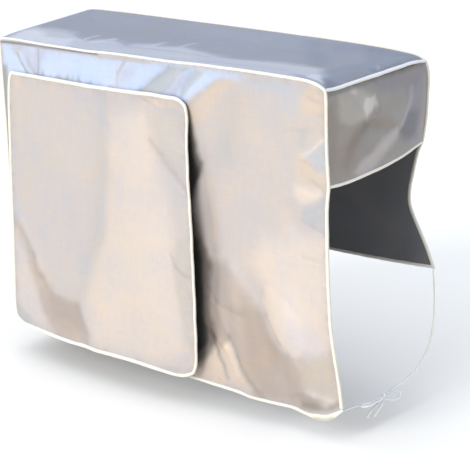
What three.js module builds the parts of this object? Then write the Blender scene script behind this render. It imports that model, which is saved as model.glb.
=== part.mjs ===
// A slip-over cover of silver-coated cloth: top, front with a sewn-on flap, sides and short back,
// with bias binding on every seam and free edge, and two ties knotted in a bow at the lower right.
// Millimetres, +X to the right seen from the front, +Y to the back, +Z up.
// The origin is the middle of the underside of the top.
import * as THREE from "three";

// Driving dimensions.
const WIDTH = 800;
const DEPTH = 260;
const DROP = 545;
const SIDE_DROP = 164;
const BACK_DROP = 366;
const CLOTH = 2;
const BINDING = 6.4;
const TIE = 3.4;
const KNOT = 12;
const GAP = 0.3;
const STRIP_SIDES = 6;
const TIE_SIDES = 8;

// Sizes of the flap: how far its sides stand left and right of the middle, and its top and hem below the top.
const FLAP_LEFT = 352;
const FLAP_RIGHT = 104;
const FLAP_TOP = 60;
const FLAP_HEM = 544;
// How far its hem stands off the front at the left and right, and its belly between them.
const FLAP_STAND = { left: 24, right: 34, belly: 12 };

// How far the front's hem bellies out, and the band of the front that stays flat under the flap's seam.
const HEM_BELLY = 20;
const BELLY_START = 240;
const FLAT_BAND = 92;

const HALF = WIDTH / 2;
const FRONT = -DEPTH / 2;
const REAR = DEPTH / 2;
const TOP = CLOTH / 2;
const INSET = BINDING / 2 + GAP;
const FACING = {
  front: new THREE.Vector3(0, -1, 0),
  back: new THREE.Vector3(0, 1, 0),
  left: new THREE.Vector3(-1, 0, 0),
  right: new THREE.Vector3(1, 0, 0),
  up: new THREE.Vector3(0, 0, 1),
};

// Finishes, from the coated cloth in daylight.
const finish = (color, roughness, metalness) =>
  new THREE.MeshStandardMaterial({ color, roughness, metalness, side: THREE.DoubleSide });
const FINISH = {
  top: finish("#a3abbe", 0.45, 0.5),
  front: finish("#d8cec8", 0.45, 0.5),
  flap: finish("#e0d8d0", 0.45, 0.5),
  side: finish("#8f8a86", 0.5, 0.5),
  binding: finish("#f4f1e8", 0.8, 0),
  tie: finish("#efece2", 0.8, 0),
};

const corner = (x, y, z) => new THREE.Vector3(x, y, z);
const smooth = THREE.MathUtils.smoothstep;

// Corners of the pieces. The top's right corners sag, and its rear stands a little proud.
const CORNER = {
  frontTopLeft: corner(-HALF + 20, FRONT, TOP),
  frontTopRight: corner(HALF - 6, FRONT, TOP - 7),
  rearTopRight: corner(HALF, REAR - 8, TOP - 7),
  rearTopLeft: corner(-HALF - 3, REAR - 12, TOP + 8),
  frontHemRight: corner(HALF + 4, FRONT, -DROP),
  frontHemLeft: corner(-HALF + 6, FRONT, -DROP + 1),
  rearHemLeft: corner(-HALF + 2, REAR, -DROP),
  sideHemFront: corner(HALF - 6, FRONT, -SIDE_DROP),
  sideHemRear: corner(HALF - 17, REAR, -SIDE_DROP + 15),
  tieCorner: corner(HALF + 4, REAR - 4, -BACK_DROP),
  backHemLeft: corner(-HALF + 1, REAR, -BACK_DROP - 4),
  flapTopLeft: corner(-FLAP_LEFT, FRONT, -FLAP_TOP + 1),
  flapTopRight: corner(FLAP_RIGHT - 14, FRONT, -FLAP_TOP - 7),
  flapHemRight: corner(FLAP_RIGHT, FRONT, -FLAP_HEM + 10),
  flapHemLeft: corner(-FLAP_LEFT - 14, FRONT, -FLAP_HEM + 18),
};

// An edge bows away from the straight line between its corners: at is the share of the way along,
// and x, y and z are the bow there.
const BOW = {
  frontTop: [
    { at: 0.17, x: 0, z: 2 },
    { at: 0.41, x: 0, z: 6 },
    { at: 0.67, x: 0, z: 12 },
    { at: 0.86, x: 0, z: 14 },
    { at: 0.95, x: 0, z: 12 },
    { at: 0.98, x: 1, z: 7 },
  ],
  frontRightUpper: [
    { at: 0.08, x: 4, z: 0 },
    { at: 0.33, x: 4, z: 0 },
    { at: 0.65, x: 2, z: 0 },
  ],
  frontRightLower: [
    { at: 0.2, x: -7, z: 0 },
    { at: 0.46, x: -8, z: 0 },
    { at: 0.76, x: -3, z: 0 },
  ],
  frontLeft: [
    { at: 0.18, x: 1, z: 0 },
    { at: 0.31, x: 2, z: 0 },
    { at: 0.53, x: 0, z: 0 },
    { at: 0.77, x: 0, z: 0 },
  ],
  frontHem: [
    { at: 0.08, x: 0, z: -4 },
    { at: 0.31, x: 0, z: -7 },
    { at: 0.57, x: 0, z: -8 },
    { at: 0.81, x: 0, z: -13 },
    { at: 0.92, x: 0, z: -19 },
    { at: 0.97, x: 0, z: -17 },
  ],
  rearTop: [
    { at: 0.02, x: 0, y: 8, z: 0 },
    { at: 0.38, x: 0, y: 8, z: 6 },
    { at: 0.79, x: 0, y: 6, z: 10 },
    { at: 0.93, x: 0, y: 2, z: 9 },
    { at: 0.98, x: 0, y: 0, z: 6 },
  ],
  rearRightUpper: [
    { at: 0.1, x: 6, y: -1, z: -1 },
    { at: 0.37, x: 8, y: -1, z: -1 },
    { at: 0.79, x: 4, y: 0, z: -1 },
  ],
  rearRightLower: [
    { at: 0.08, x: -11, y: 0, z: -1 },
    { at: 0.25, x: -26, y: 1, z: -3 },
    { at: 0.4, x: -38, y: 2, z: -4 },
    { at: 0.5, x: -40, y: 2, z: -4 },
    { at: 0.6, x: -34, y: 2, z: -3 },
    { at: 0.85, x: -13, y: 3, z: -1 },
  ],
  rearLeftUpper: [
    { at: 0.18, x: -2, y: 2, z: 0 },
    { at: 0.55, x: 1, y: 2, z: 0 },
  ],
  rearLeftLower: [{ at: 0.5, x: -2, y: 1, z: 0 }],
  topLeft: [
    { at: 0.22, x: -6, y: 0, z: 0 },
    { at: 0.56, x: -3, y: 0, z: 0 },
  ],
  topRight: [
    { at: 0.23, x: 2, y: 0, z: 2 },
    { at: 0.49, x: 4, y: 0, z: 6 },
    { at: 0.7, x: 3, y: 0, z: 8 },
    { at: 0.87, x: 2, y: 0, z: 5 },
  ],
  rightHem: [
    { at: 0.22, x: 7, y: 0, z: 2 },
    { at: 0.43, x: 11, y: 0, z: 3 },
    { at: 0.73, x: 12, y: 0, z: 4 },
    { at: 0.91, x: 8, y: 0, z: 6 },
  ],
  leftHem: [
    { at: 0.27, x: -5, y: 0, z: -4 },
    { at: 0.65, x: -5, y: 0, z: -2 },
  ],
  backHem: [
    { at: 0.25, x: 0, y: 5, z: -5 },
    { at: 0.62, x: 0, y: 8, z: -10 },
    { at: 0.87, x: 0, y: 6, z: -7 },
  ],
  flapTop: [
    { at: 0.55, x: 0, z: 3 },
    { at: 0.89, x: 0, z: 9 },
    { at: 0.96, x: 0, z: 8 },
  ],
  flapRight: [
    { at: 0.04, x: 7, z: 0 },
    { at: 0.24, x: 11, z: 0 },
    { at: 0.71, x: 12, z: 0 },
    { at: 0.9, x: 11, z: 0 },
    { at: 0.96, x: 9, z: 0 },
  ],
  flapHem: [
    { at: 0.03, x: 0, z: -11 },
    { at: 0.14, x: 0, z: -14 },
    { at: 0.5, x: 0, z: -14 },
    { at: 0.86, x: 0, z: -15 },
    { at: 0.95, x: 0, z: -11 },
  ],
  flapLeft: [
    { at: 0.3, x: 1, z: 0 },
    { at: 0.81, x: -3, z: 0 },
    { at: 0.96, x: -4, z: 0 },
  ],
};

// Folds are soft ridges and troughs along straight lines on a face: from x, z to toX, toZ,
// width across, and out, how far the cloth stands out there, negative for a trough.
const FRONT_FOLDS = [
  { x: 124, z: -130, toX: 146, toZ: -480, width: 27, out: -21 },
  { x: 172, z: -340, toX: 222, toZ: -540, width: 20, out: 6 },
  { x: 205, z: -330, toX: 300, toZ: -560, width: 30, out: -9 },
  { x: 268, z: -350, toX: 350, toZ: -520, width: 42, out: 9 },
  { x: 355, z: -150, toX: 320, toZ: -210, width: 20, out: -3 },
  { x: 350, z: -265, toX: 315, toZ: -235, width: 20, out: -3 },
];
const FLAP_FOLDS = [
  { x: -352, z: -320, toX: -315, toZ: -390, width: 20, out: -4 },
  { x: -288, z: -425, toX: -265, toZ: -455, width: 18, out: -5 },
  { x: -230, z: -478, toX: -170, toZ: -530, width: 20, out: -4 },
  { x: -215, z: -150, toX: -190, toZ: -420, width: 34, out: 3 },
  { x: -60, z: -160, toX: -20, toZ: -420, width: 48, out: 4 },
  { x: 40, z: -180, toX: 60, toZ: -430, width: 26, out: -3 },
];
const RIGHT_FOLDS = [
  { x: -70, z: -60, toX: 60, toZ: -100, width: 30, out: -4 },
  { x: -90, z: -130, toX: 100, toZ: -40, width: 22, out: 3 },
];
const BACK_FOLDS = [
  { x: 330, z: -90, toX: 120, toZ: -300, width: 44, out: -5 },
  { x: -250, z: -80, toX: -180, toZ: -350, width: 50, out: 4 },
];
const LEFT_FOLDS = [
  { x: -60, z: -120, toX: 30, toZ: -500, width: 34, out: -5 },
  { x: 50, z: -60, toX: 80, toZ: -480, width: 28, out: 4 },
];

// How far the folds of a face stand out at x, z on it.
function relief(folds, x, z) {
  let out = 0;
  for (const fold of folds) {
    const alongX = fold.toX - fold.x;
    const alongZ = fold.toZ - fold.z;
    const share = ((x - fold.x) * alongX + (z - fold.z) * alongZ) / (alongX ** 2 + alongZ ** 2);
    const held = THREE.MathUtils.clamp(share, 0, 1);
    const off = Math.hypot(x - fold.x - held * alongX, z - fold.z - held * alongZ);
    out += fold.out * Math.exp(-((off / fold.width) ** 2));
  }
  return out;
}

// Where the front face lies at x, z: flat at the top, bellied at the hem, folded at the lower right.
function frontFace(x, z) {
  const belly = HEM_BELLY * (1 - Math.min(1, Math.abs(x / HALF)) ** 3) * smooth(-z, BELLY_START, DROP);
  const loose = smooth(-z, FLAT_BAND, FLAT_BAND + 50) * smooth(HALF - x, 8, 60) * smooth(x + HALF, 20, 80);
  return FRONT - belly - relief(FRONT_FOLDS, x, z) * loose;
}

// Where the flap hangs at x, z: against the front along its top, and standing off it below.
function flapFace(x, z) {
  const down = THREE.MathUtils.clamp((-z - FLAP_TOP) / (FLAP_HEM - FLAP_TOP), 0, 1);
  const across = THREE.MathUtils.clamp((x + FLAP_LEFT) / (FLAP_LEFT + FLAP_RIGHT), 0, 1);
  const { left, right, belly } = FLAP_STAND;
  const stand = left + (right - left) * across + belly * Math.sin(Math.PI * across);
  const seat = FRONT - CLOTH / 2 - GAP - BINDING / 2;
  return seat - stand * down ** 0.8 - relief(FLAP_FOLDS, x, z) * smooth(down, 0.03, 0.25);
}

// The middle lines of the edges, sampled at shares of their length. A face, where there is one, sets y.
function edge(from, to, bow, shares, face) {
  const rows = [{ at: 0, x: 0, z: 0 }, ...bow, { at: 1, x: 0, z: 0 }];
  const points = rows.map(({ at, x, y = 0, z }) =>
    from.clone().lerp(to, at).add(new THREE.Vector3(x, y, z)),
  );
  const curve = new THREE.CatmullRomCurve3(points, false, "centripetal");
  return shares.map((share) => {
    const point = curve.getPointAt(share);
    if (face) point.y = face(point.x, point.z);
    return point;
  });
}

// Shares from 0 to 1 in runs of even steps, each run up to a share.
function runs(...list) {
  const shares = [0];
  let from = 0;
  for (const { to, steps } of list) {
    for (let step = 1; step <= steps; step++) shares.push(from + ((to - from) * step) / steps);
    from = to;
  }
  return shares;
}

const ACROSS = runs({ to: 0.05, steps: 2 }, { to: 0.6, steps: 8 }, { to: 0.94, steps: 8 }, { to: 1, steps: 3 });
const DEEP = runs({ to: 1, steps: 8 });
const UPPER = runs({ to: 0.2, steps: 3 }, { to: 1, steps: 4 });
const LOWER = runs({ to: 1, steps: 11 });
const BACK_LOWER = runs({ to: 1, steps: 6 });
const LEFT_FRONT = runs({ to: 0.3, steps: 7 }, { to: 1, steps: 11 });
const LEFT_REAR_UPPER = runs({ to: 1, steps: 13 });
const LEFT_REAR_LOWER = runs({ to: 1, steps: 5 });
const FLAP_ACROSS = runs({ to: 0.04, steps: 2 }, { to: 0.92, steps: 10 }, { to: 1, steps: 3 });
const FLAP_DOWN = runs({ to: 0.06, steps: 3 }, { to: 0.94, steps: 11 }, { to: 1, steps: 3 });

// Joins lines that meet end to end.
const joined = (...lines) => lines.reduce((whole, next) => [...whole, ...next.slice(1)]);
const turned = (line) => [...line].reverse();

const C = CORNER;
const EDGE = {
  frontTop: edge(C.frontTopLeft, C.frontTopRight, BOW.frontTop, ACROSS, frontFace),
  frontRightUpper: edge(C.frontTopRight, C.sideHemFront, BOW.frontRightUpper, UPPER, frontFace),
  frontRightLower: edge(C.sideHemFront, C.frontHemRight, BOW.frontRightLower, LOWER, frontFace),
  frontLeft: edge(C.frontTopLeft, C.frontHemLeft, BOW.frontLeft, LEFT_FRONT, frontFace),
  frontHem: edge(C.frontHemLeft, C.frontHemRight, BOW.frontHem, ACROSS, frontFace),
  rearTop: edge(C.rearTopLeft, C.rearTopRight, BOW.rearTop, ACROSS),
  rearRightUpper: edge(C.rearTopRight, C.sideHemRear, BOW.rearRightUpper, UPPER),
  rearRightLower: edge(C.sideHemRear, C.tieCorner, BOW.rearRightLower, BACK_LOWER),
  rearLeftUpper: edge(C.rearTopLeft, C.backHemLeft, BOW.rearLeftUpper, LEFT_REAR_UPPER),
  rearLeftLower: edge(C.backHemLeft, C.rearHemLeft, BOW.rearLeftLower, LEFT_REAR_LOWER),
  topLeft: edge(C.frontTopLeft, C.rearTopLeft, BOW.topLeft, DEEP),
  topRight: edge(C.frontTopRight, C.rearTopRight, BOW.topRight, DEEP),
  rightHem: edge(C.sideHemFront, C.sideHemRear, BOW.rightHem, DEEP),
  leftHem: edge(C.frontHemLeft, C.rearHemLeft, BOW.leftHem, DEEP),
  backHem: edge(C.backHemLeft, C.tieCorner, BOW.backHem, ACROSS),
  flapTop: edge(C.flapTopLeft, C.flapTopRight, BOW.flapTop, FLAP_ACROSS, flapFace),
  flapRight: edge(C.flapTopRight, C.flapHemRight, BOW.flapRight, FLAP_DOWN, flapFace),
  flapHem: edge(C.flapHemLeft, C.flapHemRight, BOW.flapHem, FLAP_ACROSS, flapFace),
  flapLeft: edge(C.flapTopLeft, C.flapHemLeft, BOW.flapLeft, FLAP_DOWN, flapFace),
};

// Moves a closed outline inwards by the binding's half width and the gap, in the plane that normal faces.
function insetOutline(outline, normal) {
  const count = outline.length;
  const flat = (from, to) => to.clone().sub(from).projectOnPlane(normal).normalize();
  let turn = 0;
  for (let i = 0; i < count; i++) {
    const a = flat(outline[(i + count - 1) % count], outline[i]);
    const b = flat(outline[i], outline[(i + 1) % count]);
    turn += a.cross(b).dot(normal);
  }
  const inward = normal.clone().multiplyScalar(Math.sign(turn));
  return outline.map((point, i) => {
    const before = inward.clone().cross(flat(outline[(i + count - 1) % count], point));
    const after = inward.clone().cross(flat(point, outline[(i + 1) % count]));
    const reach = INSET / (1 + before.dot(after));
    return point.clone().addScaledVector(before.add(after), reach);
  });
}

// The shares of a line's length at its points.
function reach(line) {
  const lengths = [0];
  for (let i = 1; i < line.length; i++) lengths.push(lengths[i - 1] + line[i].distanceTo(line[i - 1]));
  return lengths.map((length) => length / lengths[lengths.length - 1]);
}

// A grid of points that fills four edges: near and far run across, left and right run from near to far.
function patch(near, far, left, right, normal, shape) {
  const wide = near.length - 1;
  const tall = left.length - 1;
  const outline = insetOutline(
    [...near.slice(0, -1), ...right.slice(0, -1), ...turned(far).slice(0, -1), ...turned(left).slice(0, -1)],
    normal,
  );
  const a = outline.slice(0, wide + 1);
  const b = outline.slice(wide, wide + tall + 1);
  const c = turned(outline.slice(wide + tall, 2 * wide + tall + 1));
  const d = turned([...outline.slice(2 * wide + tall), outline[0]]);
  const [nearShare, farShare, leftShare, rightShare] = [a, c, d, b].map(reach);
  const grid = [];
  for (let j = 0; j <= tall; j++) {
    const row = [];
    for (let i = 0; i <= wide; i++) {
      const s0 = nearShare[i];
      const s1 = farShare[i];
      const t0 = leftShare[j];
      const t1 = rightShare[j];
      const s = (s0 + t0 * (s1 - s0)) / (1 - (s1 - s0) * (t1 - t0));
      const t = t0 + s * (t1 - t0);
      const point = new THREE.Vector3()
        .addScaledVector(a[i], 1 - t)
        .addScaledVector(c[i], t)
        .addScaledVector(d[j], 1 - s)
        .addScaledVector(b[j], s)
        .addScaledVector(a[0], -(1 - s) * (1 - t))
        .addScaledVector(a[wide], -s * (1 - t))
        .addScaledVector(c[0], -(1 - s) * t)
        .addScaledVector(c[wide], -s * t);
      const rim = i === 0 || j === 0 || i === wide || j === tall;
      row.push(rim ? point : shape(point, s, t));
    }
    grid.push(row);
  }
  return grid;
}

// A solid sheet of cloth: the grid's points, moved half the cloth's thickness to either side.
function sheet(name, grid, normal, material) {
  const wide = grid[0].length;
  const tall = grid.length;
  const layer = wide * tall;
  const positions = [];
  for (const side of [0.5, -0.5]) {
    for (const point of grid.flat()) {
      positions.push(...point.clone().addScaledVector(normal, side * CLOTH));
    }
  }
  const faces = [];
  const quad = (p, q, r, s) => faces.push(p, q, r, p, r, s);
  for (let j = 0; j + 1 < tall; j++) {
    for (let i = 0; i + 1 < wide; i++) {
      const at = j * wide + i;
      quad(at, at + 1, at + wide + 1, at + wide);
      quad(at + layer, at + layer + wide, at + layer + wide + 1, at + layer + 1);
    }
  }
  const rim = [];
  for (let i = 0; i < wide; i++) rim.push(i);
  for (let j = 1; j < tall; j++) rim.push(j * wide + wide - 1);
  for (let i = wide - 2; i >= 0; i--) rim.push((tall - 1) * wide + i);
  for (let j = tall - 2; j > 0; j--) rim.push(j * wide);
  rim.forEach((at, i) => {
    const next = rim[(i + 1) % rim.length];
    quad(at, at + layer, next + layer, next);
  });
  return solid(name, positions, faces, material);
}

// A mesh of one closed body, with its faces turned to point out.
function solid(name, positions, faces, material) {
  const at = (index) => new THREE.Vector3(...positions.slice(3 * index, 3 * index + 3));
  let volume = 0;
  for (let i = 0; i < faces.length; i += 3) {
    volume += at(faces[i]).dot(at(faces[i + 1]).cross(at(faces[i + 2])));
  }
  const geometry = new THREE.BufferGeometry();
  geometry.setAttribute("position", new THREE.Float32BufferAttribute(positions, 3));
  geometry.setIndex(volume > 0 ? faces : turned(faces));
  geometry.computeVertexNormals();
  const mesh = new THREE.Mesh(geometry, material);
  mesh.name = name;
  return mesh;
}

// Cuts lengths off the two ends of a line. A negative length makes that end longer.
function trimmed(line, startCut, endCut) {
  const cut = (points, amount) => {
    let first = 0;
    let left = amount;
    while (left > points[first].distanceTo(points[first + 1])) {
      left -= points[first].distanceTo(points[first + 1]);
      first++;
    }
    const share = left / points[first].distanceTo(points[first + 1]);
    const end = points[first].clone().lerp(points[first + 1], share);
    return [end, ...points.slice(first + 1)];
  };
  return turned(cut(turned(cut(line, startCut)), endCut));
}

// A folded strip swept along a line, with mitred turns. A closed one runs round and has no ends.
function binding(name, line, closed = false) {
  const count = line.length;
  const heading = (i) => {
    const from = line[(i + count) % count];
    return line[(i + 1 + count) % count].clone().sub(from).normalize();
  };
  let before = heading(closed ? -1 : 0);
  const upward = Math.abs(before.z) > 0.7 ? FACING.front : FACING.up;
  const across = new THREE.Vector3().crossVectors(before, upward).normalize();
  const rise = new THREE.Vector3().crossVectors(across, before).normalize();
  const positions = [];
  for (let i = 0; i < count; i++) {
    const after = !closed && i === count - 1 ? before : heading(i);
    const mitre = before.clone().add(after).normalize();
    for (let side = 0; side < STRIP_SIDES; side++) {
      const angle = ((side + 0.5) * 2 * Math.PI) / STRIP_SIDES;
      const offset = new THREE.Vector3()
        .addScaledVector(across, (Math.cos(angle) * BINDING) / 2)
        .addScaledVector(rise, (Math.sin(angle) * BINDING) / 2);
      offset.addScaledVector(before, -offset.dot(mitre) / before.dot(mitre));
      positions.push(...line[i].clone().add(offset));
    }
    const spin = new THREE.Quaternion().setFromUnitVectors(before, after);
    across.applyQuaternion(spin);
    rise.applyQuaternion(spin);
    before = after;
  }
  const faces = [];
  for (let i = 0; i < (closed ? count : count - 1); i++) {
    const here = i * STRIP_SIDES;
    const next = ((i + 1) % count) * STRIP_SIDES;
    for (let side = 0; side < STRIP_SIDES; side++) {
      const other = (side + 1) % STRIP_SIDES;
      faces.push(here + side, here + other, next + other, here + side, next + other, next + side);
    }
  }
  const last = (count - 1) * STRIP_SIDES;
  for (let side = 1; !closed && side + 1 < STRIP_SIDES; side++) {
    faces.push(0, side + 1, side, last, last + side, last + side + 1);
  }
  return solid(name, positions, faces, FINISH.binding);
}

// A round tie along its route.
function tie(name, route) {
  const curve = new THREE.CatmullRomCurve3(route, false, "centripetal");
  const turns = Array.from({ length: TIE_SIDES }, (_, side) => (side * 2 * Math.PI) / TIE_SIDES);
  const section = new THREE.Shape(
    turns.map((angle) => new THREE.Vector2(Math.cos(angle), Math.sin(angle)).multiplyScalar(TIE / 2)),
  );
  const steps = Math.max(4, Math.round(curve.getLength() / (2.5 * TIE)));
  const geometry = new THREE.ExtrudeGeometry(section, { extrudePath: curve, steps, bevelEnabled: false });
  const mesh = new THREE.Mesh(geometry, FINISH.tie);
  mesh.name = name;
  return mesh;
}

// How much the cloth of a piece is free to move at shares s, t of it: not at all at its seams.
const slack = (s, t) => smooth(Math.min(s, 1 - s), 0, 0.2) * smooth(Math.min(t, 1 - t), 0, 0.2);

// The top lies flat but for a band along its seams, which follow the edges up and down.
function topShape(point, s, t) {
  const rim = Math.min(Math.min(s, 1 - s) * WIDTH, Math.min(t, 1 - t) * DEPTH);
  point.z = TOP + (point.z - TOP) * (1 - smooth(rim, 4, 28));
  return point;
}

function frontShape(point) {
  point.y = frontFace(point.x, point.z);
  return point;
}

function flapShape(point) {
  point.y = flapFace(point.x, point.z);
  return point;
}

function rightShape(point, s, t) {
  point.x += relief(RIGHT_FOLDS, point.y, point.z) * slack(s, t);
  return point;
}

function leftShape(point, s, t) {
  point.x -= relief(LEFT_FOLDS, point.y, point.z) * slack(s, t);
  return point;
}

function backShape(point, s, t) {
  point.y += relief(BACK_FOLDS, point.x, point.z) * slack(s, t);
  return point;
}

const frontRight = joined(EDGE.frontRightUpper, EDGE.frontRightLower);
const rearRight = joined(EDGE.rearRightUpper, EDGE.rearRightLower);
const rearLeft = joined(EDGE.rearLeftUpper, EDGE.rearLeftLower);

function panels() {
  const { front, back, left, right, up } = FACING;
  const grids = {
    top: patch(EDGE.frontTop, EDGE.rearTop, EDGE.topLeft, EDGE.topRight, up, topShape),
    front: patch(EDGE.frontTop, EDGE.frontHem, EDGE.frontLeft, frontRight, front, frontShape),
    flap: patch(EDGE.flapTop, EDGE.flapHem, EDGE.flapLeft, EDGE.flapRight, front, flapShape),
    right: patch(EDGE.topRight, EDGE.rightHem, EDGE.frontRightUpper, EDGE.rearRightUpper, right, rightShape),
    left: patch(EDGE.topLeft, EDGE.leftHem, EDGE.frontLeft, rearLeft, left, leftShape),
    back: patch(EDGE.rearTop, EDGE.backHem, EDGE.rearLeftUpper, rearRight, back, backShape),
  };
  return [
    sheet("top_panel", grids.top, up, FINISH.top),
    sheet("front_panel", grids.front, front, FINISH.front),
    sheet("flap", grids.flap, front, FINISH.flap),
    sheet("right_panel", grids.right, right, FINISH.side),
    sheet("left_panel", grids.left, left, FINISH.side),
    sheet("back_panel", grids.back, back, FINISH.side),
  ];
}

// Strips butt against one another with the gap. A strip that meets another at a slant is cut back further.
function bindings() {
  const butt = INSET + 0.2;
  const slant = INSET + 1.7;
  const steep = INSET + 2.4;
  const past = -BINDING / 2;
  const frontLine = joined(turned(EDGE.frontLeft), EDGE.frontTop, frontRight);
  const rearLine = joined(turned(rearLeft), EDGE.rearTop, rearRight);
  const flapLine = joined(EDGE.flapTop, EDGE.flapRight, turned(EDGE.flapHem), turned(EDGE.flapLeft));
  return [
    binding("binding_front", trimmed(frontLine, butt, steep)),
    binding("binding_rear", trimmed(rearLine, butt, slant)),
    binding("binding_top_left", trimmed(EDGE.topLeft, butt, slant)),
    binding("binding_top_right", trimmed(EDGE.topRight, butt, butt)),
    binding("binding_hem_front", trimmed(EDGE.frontHem, past, past)),
    binding("binding_hem_left", trimmed(EDGE.leftHem, butt, past)),
    binding("binding_hem_right", trimmed(EDGE.rightHem, butt, slant)),
    binding("binding_hem_back", trimmed(EDGE.backHem, butt, past)),
    binding("binding_flap", flapLine.slice(0, -1), true),
  ];
}

// The ties run from the front hem's corner and the back's corner to a bow.
// Its knot lies at the middle of these routes, and each tie stops at the knot's face.
function ties() {
  const knotAt = new THREE.Vector3(HALF, -15, -DROP - 13);
  const knot = new THREE.Mesh(new THREE.SphereGeometry(KNOT / 2, 12, 8), FINISH.tie);
  knot.name = "tie_knot";
  knot.position.copy(knotAt);
  // A point on the knot's face, in the direction x, y, z from its middle.
  const leaving = (x, y, z) =>
    knotAt.clone().addScaledVector(new THREE.Vector3(x, y, z).normalize(), KNOT / 2 + 2 * GAP);
  const point = (x, y, z) => new THREE.Vector3(x, y, z);
  const frontStart = C.frontHemRight.clone().add(point(-1, INSET, -1));
  const rearStart = C.tieCorner.clone().add(point(0, 0, -INSET));
  return [
    tie("tie_front", [
      frontStart,
      point(403, -112, -547),
      point(403, -90, -550),
      point(402, -66, -554),
      point(401, -44, -557),
      leaving(0, -1, 0.05),
    ]),
    tie("tie_rear", [
      rearStart,
      point(405, 126, -392),
      point(406, 125, -425),
      point(406, 122, -460),
      point(405, 113, -495),
      point(403, 96, -522),
      point(402, 70, -540),
      point(401, 40, -549),
      point(400, 12, -552),
      leaving(0, 1, 0.4),
    ]),
    tie("tie_loop", [
      leaving(0.2, 1, -0.35),
      point(402, 3, -561),
      point(404, 16, -563),
      point(405, 25, -568),
      point(404, 27, -575),
      point(402, 19, -579),
      point(400, 6, -576),
      point(399, -5, -570),
      leaving(-0.1, 0.5, -1),
    ]),
    tie("tie_end_long", [
      leaving(0, -1, -0.65),
      point(400, -27, -566),
      point(401, -37, -571),
      point(401, -47, -577),
      point(402, -56, -584),
      point(402, -62, -592),
    ]),
    tie("tie_end_short", [
      leaving(0.15, -0.25, -1),
      point(401, -18, -570),
      point(402, -21, -578),
      point(402, -25, -586),
      point(402, -29, -594),
    ]),
    knot,
  ];
}

const cover = new THREE.Group();
cover.name = "air_conditioner_cover";
cover.add(...panels(), ...bindings(), ...ties());

export default cover;
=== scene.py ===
"""Looks of a slip-over cover of silver-coated cloth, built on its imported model.

Tables and construction are in millimetres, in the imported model's frame: +X to the right seen from
the front, +Y to the back, +Z up, the origin in the middle of the underside of the top. Meshes are
written in metres.
"""

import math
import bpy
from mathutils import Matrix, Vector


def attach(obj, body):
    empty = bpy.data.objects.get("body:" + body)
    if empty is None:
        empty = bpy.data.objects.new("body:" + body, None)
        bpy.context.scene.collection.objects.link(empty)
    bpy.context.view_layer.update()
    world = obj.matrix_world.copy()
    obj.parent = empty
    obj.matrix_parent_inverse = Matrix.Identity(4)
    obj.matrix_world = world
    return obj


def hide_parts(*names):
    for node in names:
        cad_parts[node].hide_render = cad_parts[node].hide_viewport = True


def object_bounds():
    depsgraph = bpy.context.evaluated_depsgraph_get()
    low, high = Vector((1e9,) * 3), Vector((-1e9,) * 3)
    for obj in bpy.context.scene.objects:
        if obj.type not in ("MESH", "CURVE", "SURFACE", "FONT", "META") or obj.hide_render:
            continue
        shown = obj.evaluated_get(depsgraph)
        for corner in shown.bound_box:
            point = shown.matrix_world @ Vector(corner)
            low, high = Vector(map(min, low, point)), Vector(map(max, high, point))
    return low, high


bl_info = {
    "name": "Silver Cloth Unit Cover",
    "version": (1, 0, 0),
    "blender": (4, 5, 0),
    "location": "3D View > Sidebar > Unit Cover",
    "description": "Builds a bound and tied slip-over cover of silver-coated cloth with its stage",
    "category": "Add Mesh",
}

from collections import namedtuple

import bmesh
import bpy
import numpy as np
from bpy.props import FloatProperty, FloatVectorProperty, PointerProperty
from mathutils import Matrix, Vector

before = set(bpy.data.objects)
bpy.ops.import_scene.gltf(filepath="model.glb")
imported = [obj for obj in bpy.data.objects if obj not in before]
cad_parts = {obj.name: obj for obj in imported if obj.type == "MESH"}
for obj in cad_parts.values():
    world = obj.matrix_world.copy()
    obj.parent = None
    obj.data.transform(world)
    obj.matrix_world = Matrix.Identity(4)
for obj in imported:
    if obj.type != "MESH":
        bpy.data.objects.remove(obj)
CAD_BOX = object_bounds()

MM = 0.001

# The cover's driving sizes.
WIDTH = 800.0
DEPTH = 260.0
DROP = 545.0
SIDE_DROP = 164.0
BACK_DROP = 366.0
HALF = WIDTH / 2
FRONT = -DEPTH / 2
REAR = DEPTH / 2
TOP = 1.0

# The flap: its left and right sides from the middle, and its top and hem below the top.
FLAP_LEFT = 352.0
FLAP_RIGHT = 104.0
FLAP_TOP = 60.0
FLAP_HEM = 544.0
# How far its hem stands off the front at the left and right, its belly between, its seat, how fast
# it comes off the front on its way down, and the shares of that way in which its folds come in.
FLAP_STAND_LEFT = 24.0
FLAP_STAND_RIGHT = 34.0
FLAP_BELLY = 12.0
FLAP_SEAT = FRONT - 4.5
FLAP_CURVE = 0.8
FLAP_LOOSE = (0.03, 0.25)

# How far the front's hem bellies out and from what depth, the band of the front that stays flat at
# its top, and the band below it in which the folds come in.
HEM_BELLY = 20.0
BELLY_START = 240.0
FLAT_BAND = 92.0
FOLD_BAND = 50

# The cloth's edge lies this far inside the seam line, held in the fold of its tape.
TUCK = 1.9
TIE_INSET = 3.5

# The tape's mesh: its steps, its sides, how square its section is, how much thinner its stitched
# edge is, the depth and width of the groove along its stitches as shares of its half, and the most
# that a wide stretch of it is thickened.
TAPE_STEP = 2.6
TAPE_SIDES = 16
TAPE_SQUARENESS = 0.7
TAPE_WEDGE = 0.22
GROOVE_DEPTH = 0.34
GROOVE_WIDTH = 0.2
THICKEST = 1.2

# How the tape wanders off its line and swells, in layers of size and height, the width shares
# between which it counts as turned under and gets its painted shade, and how far from its join a
# closed one stays even.
TAPE_WANDER = [(40, 0.18), (9, 0.06)]
TAPE_SWELL = [(14, 0.035)]
UNDER_SHADE_FROM = (1.3, 1.9)
JOIN_CALM = 30

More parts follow.
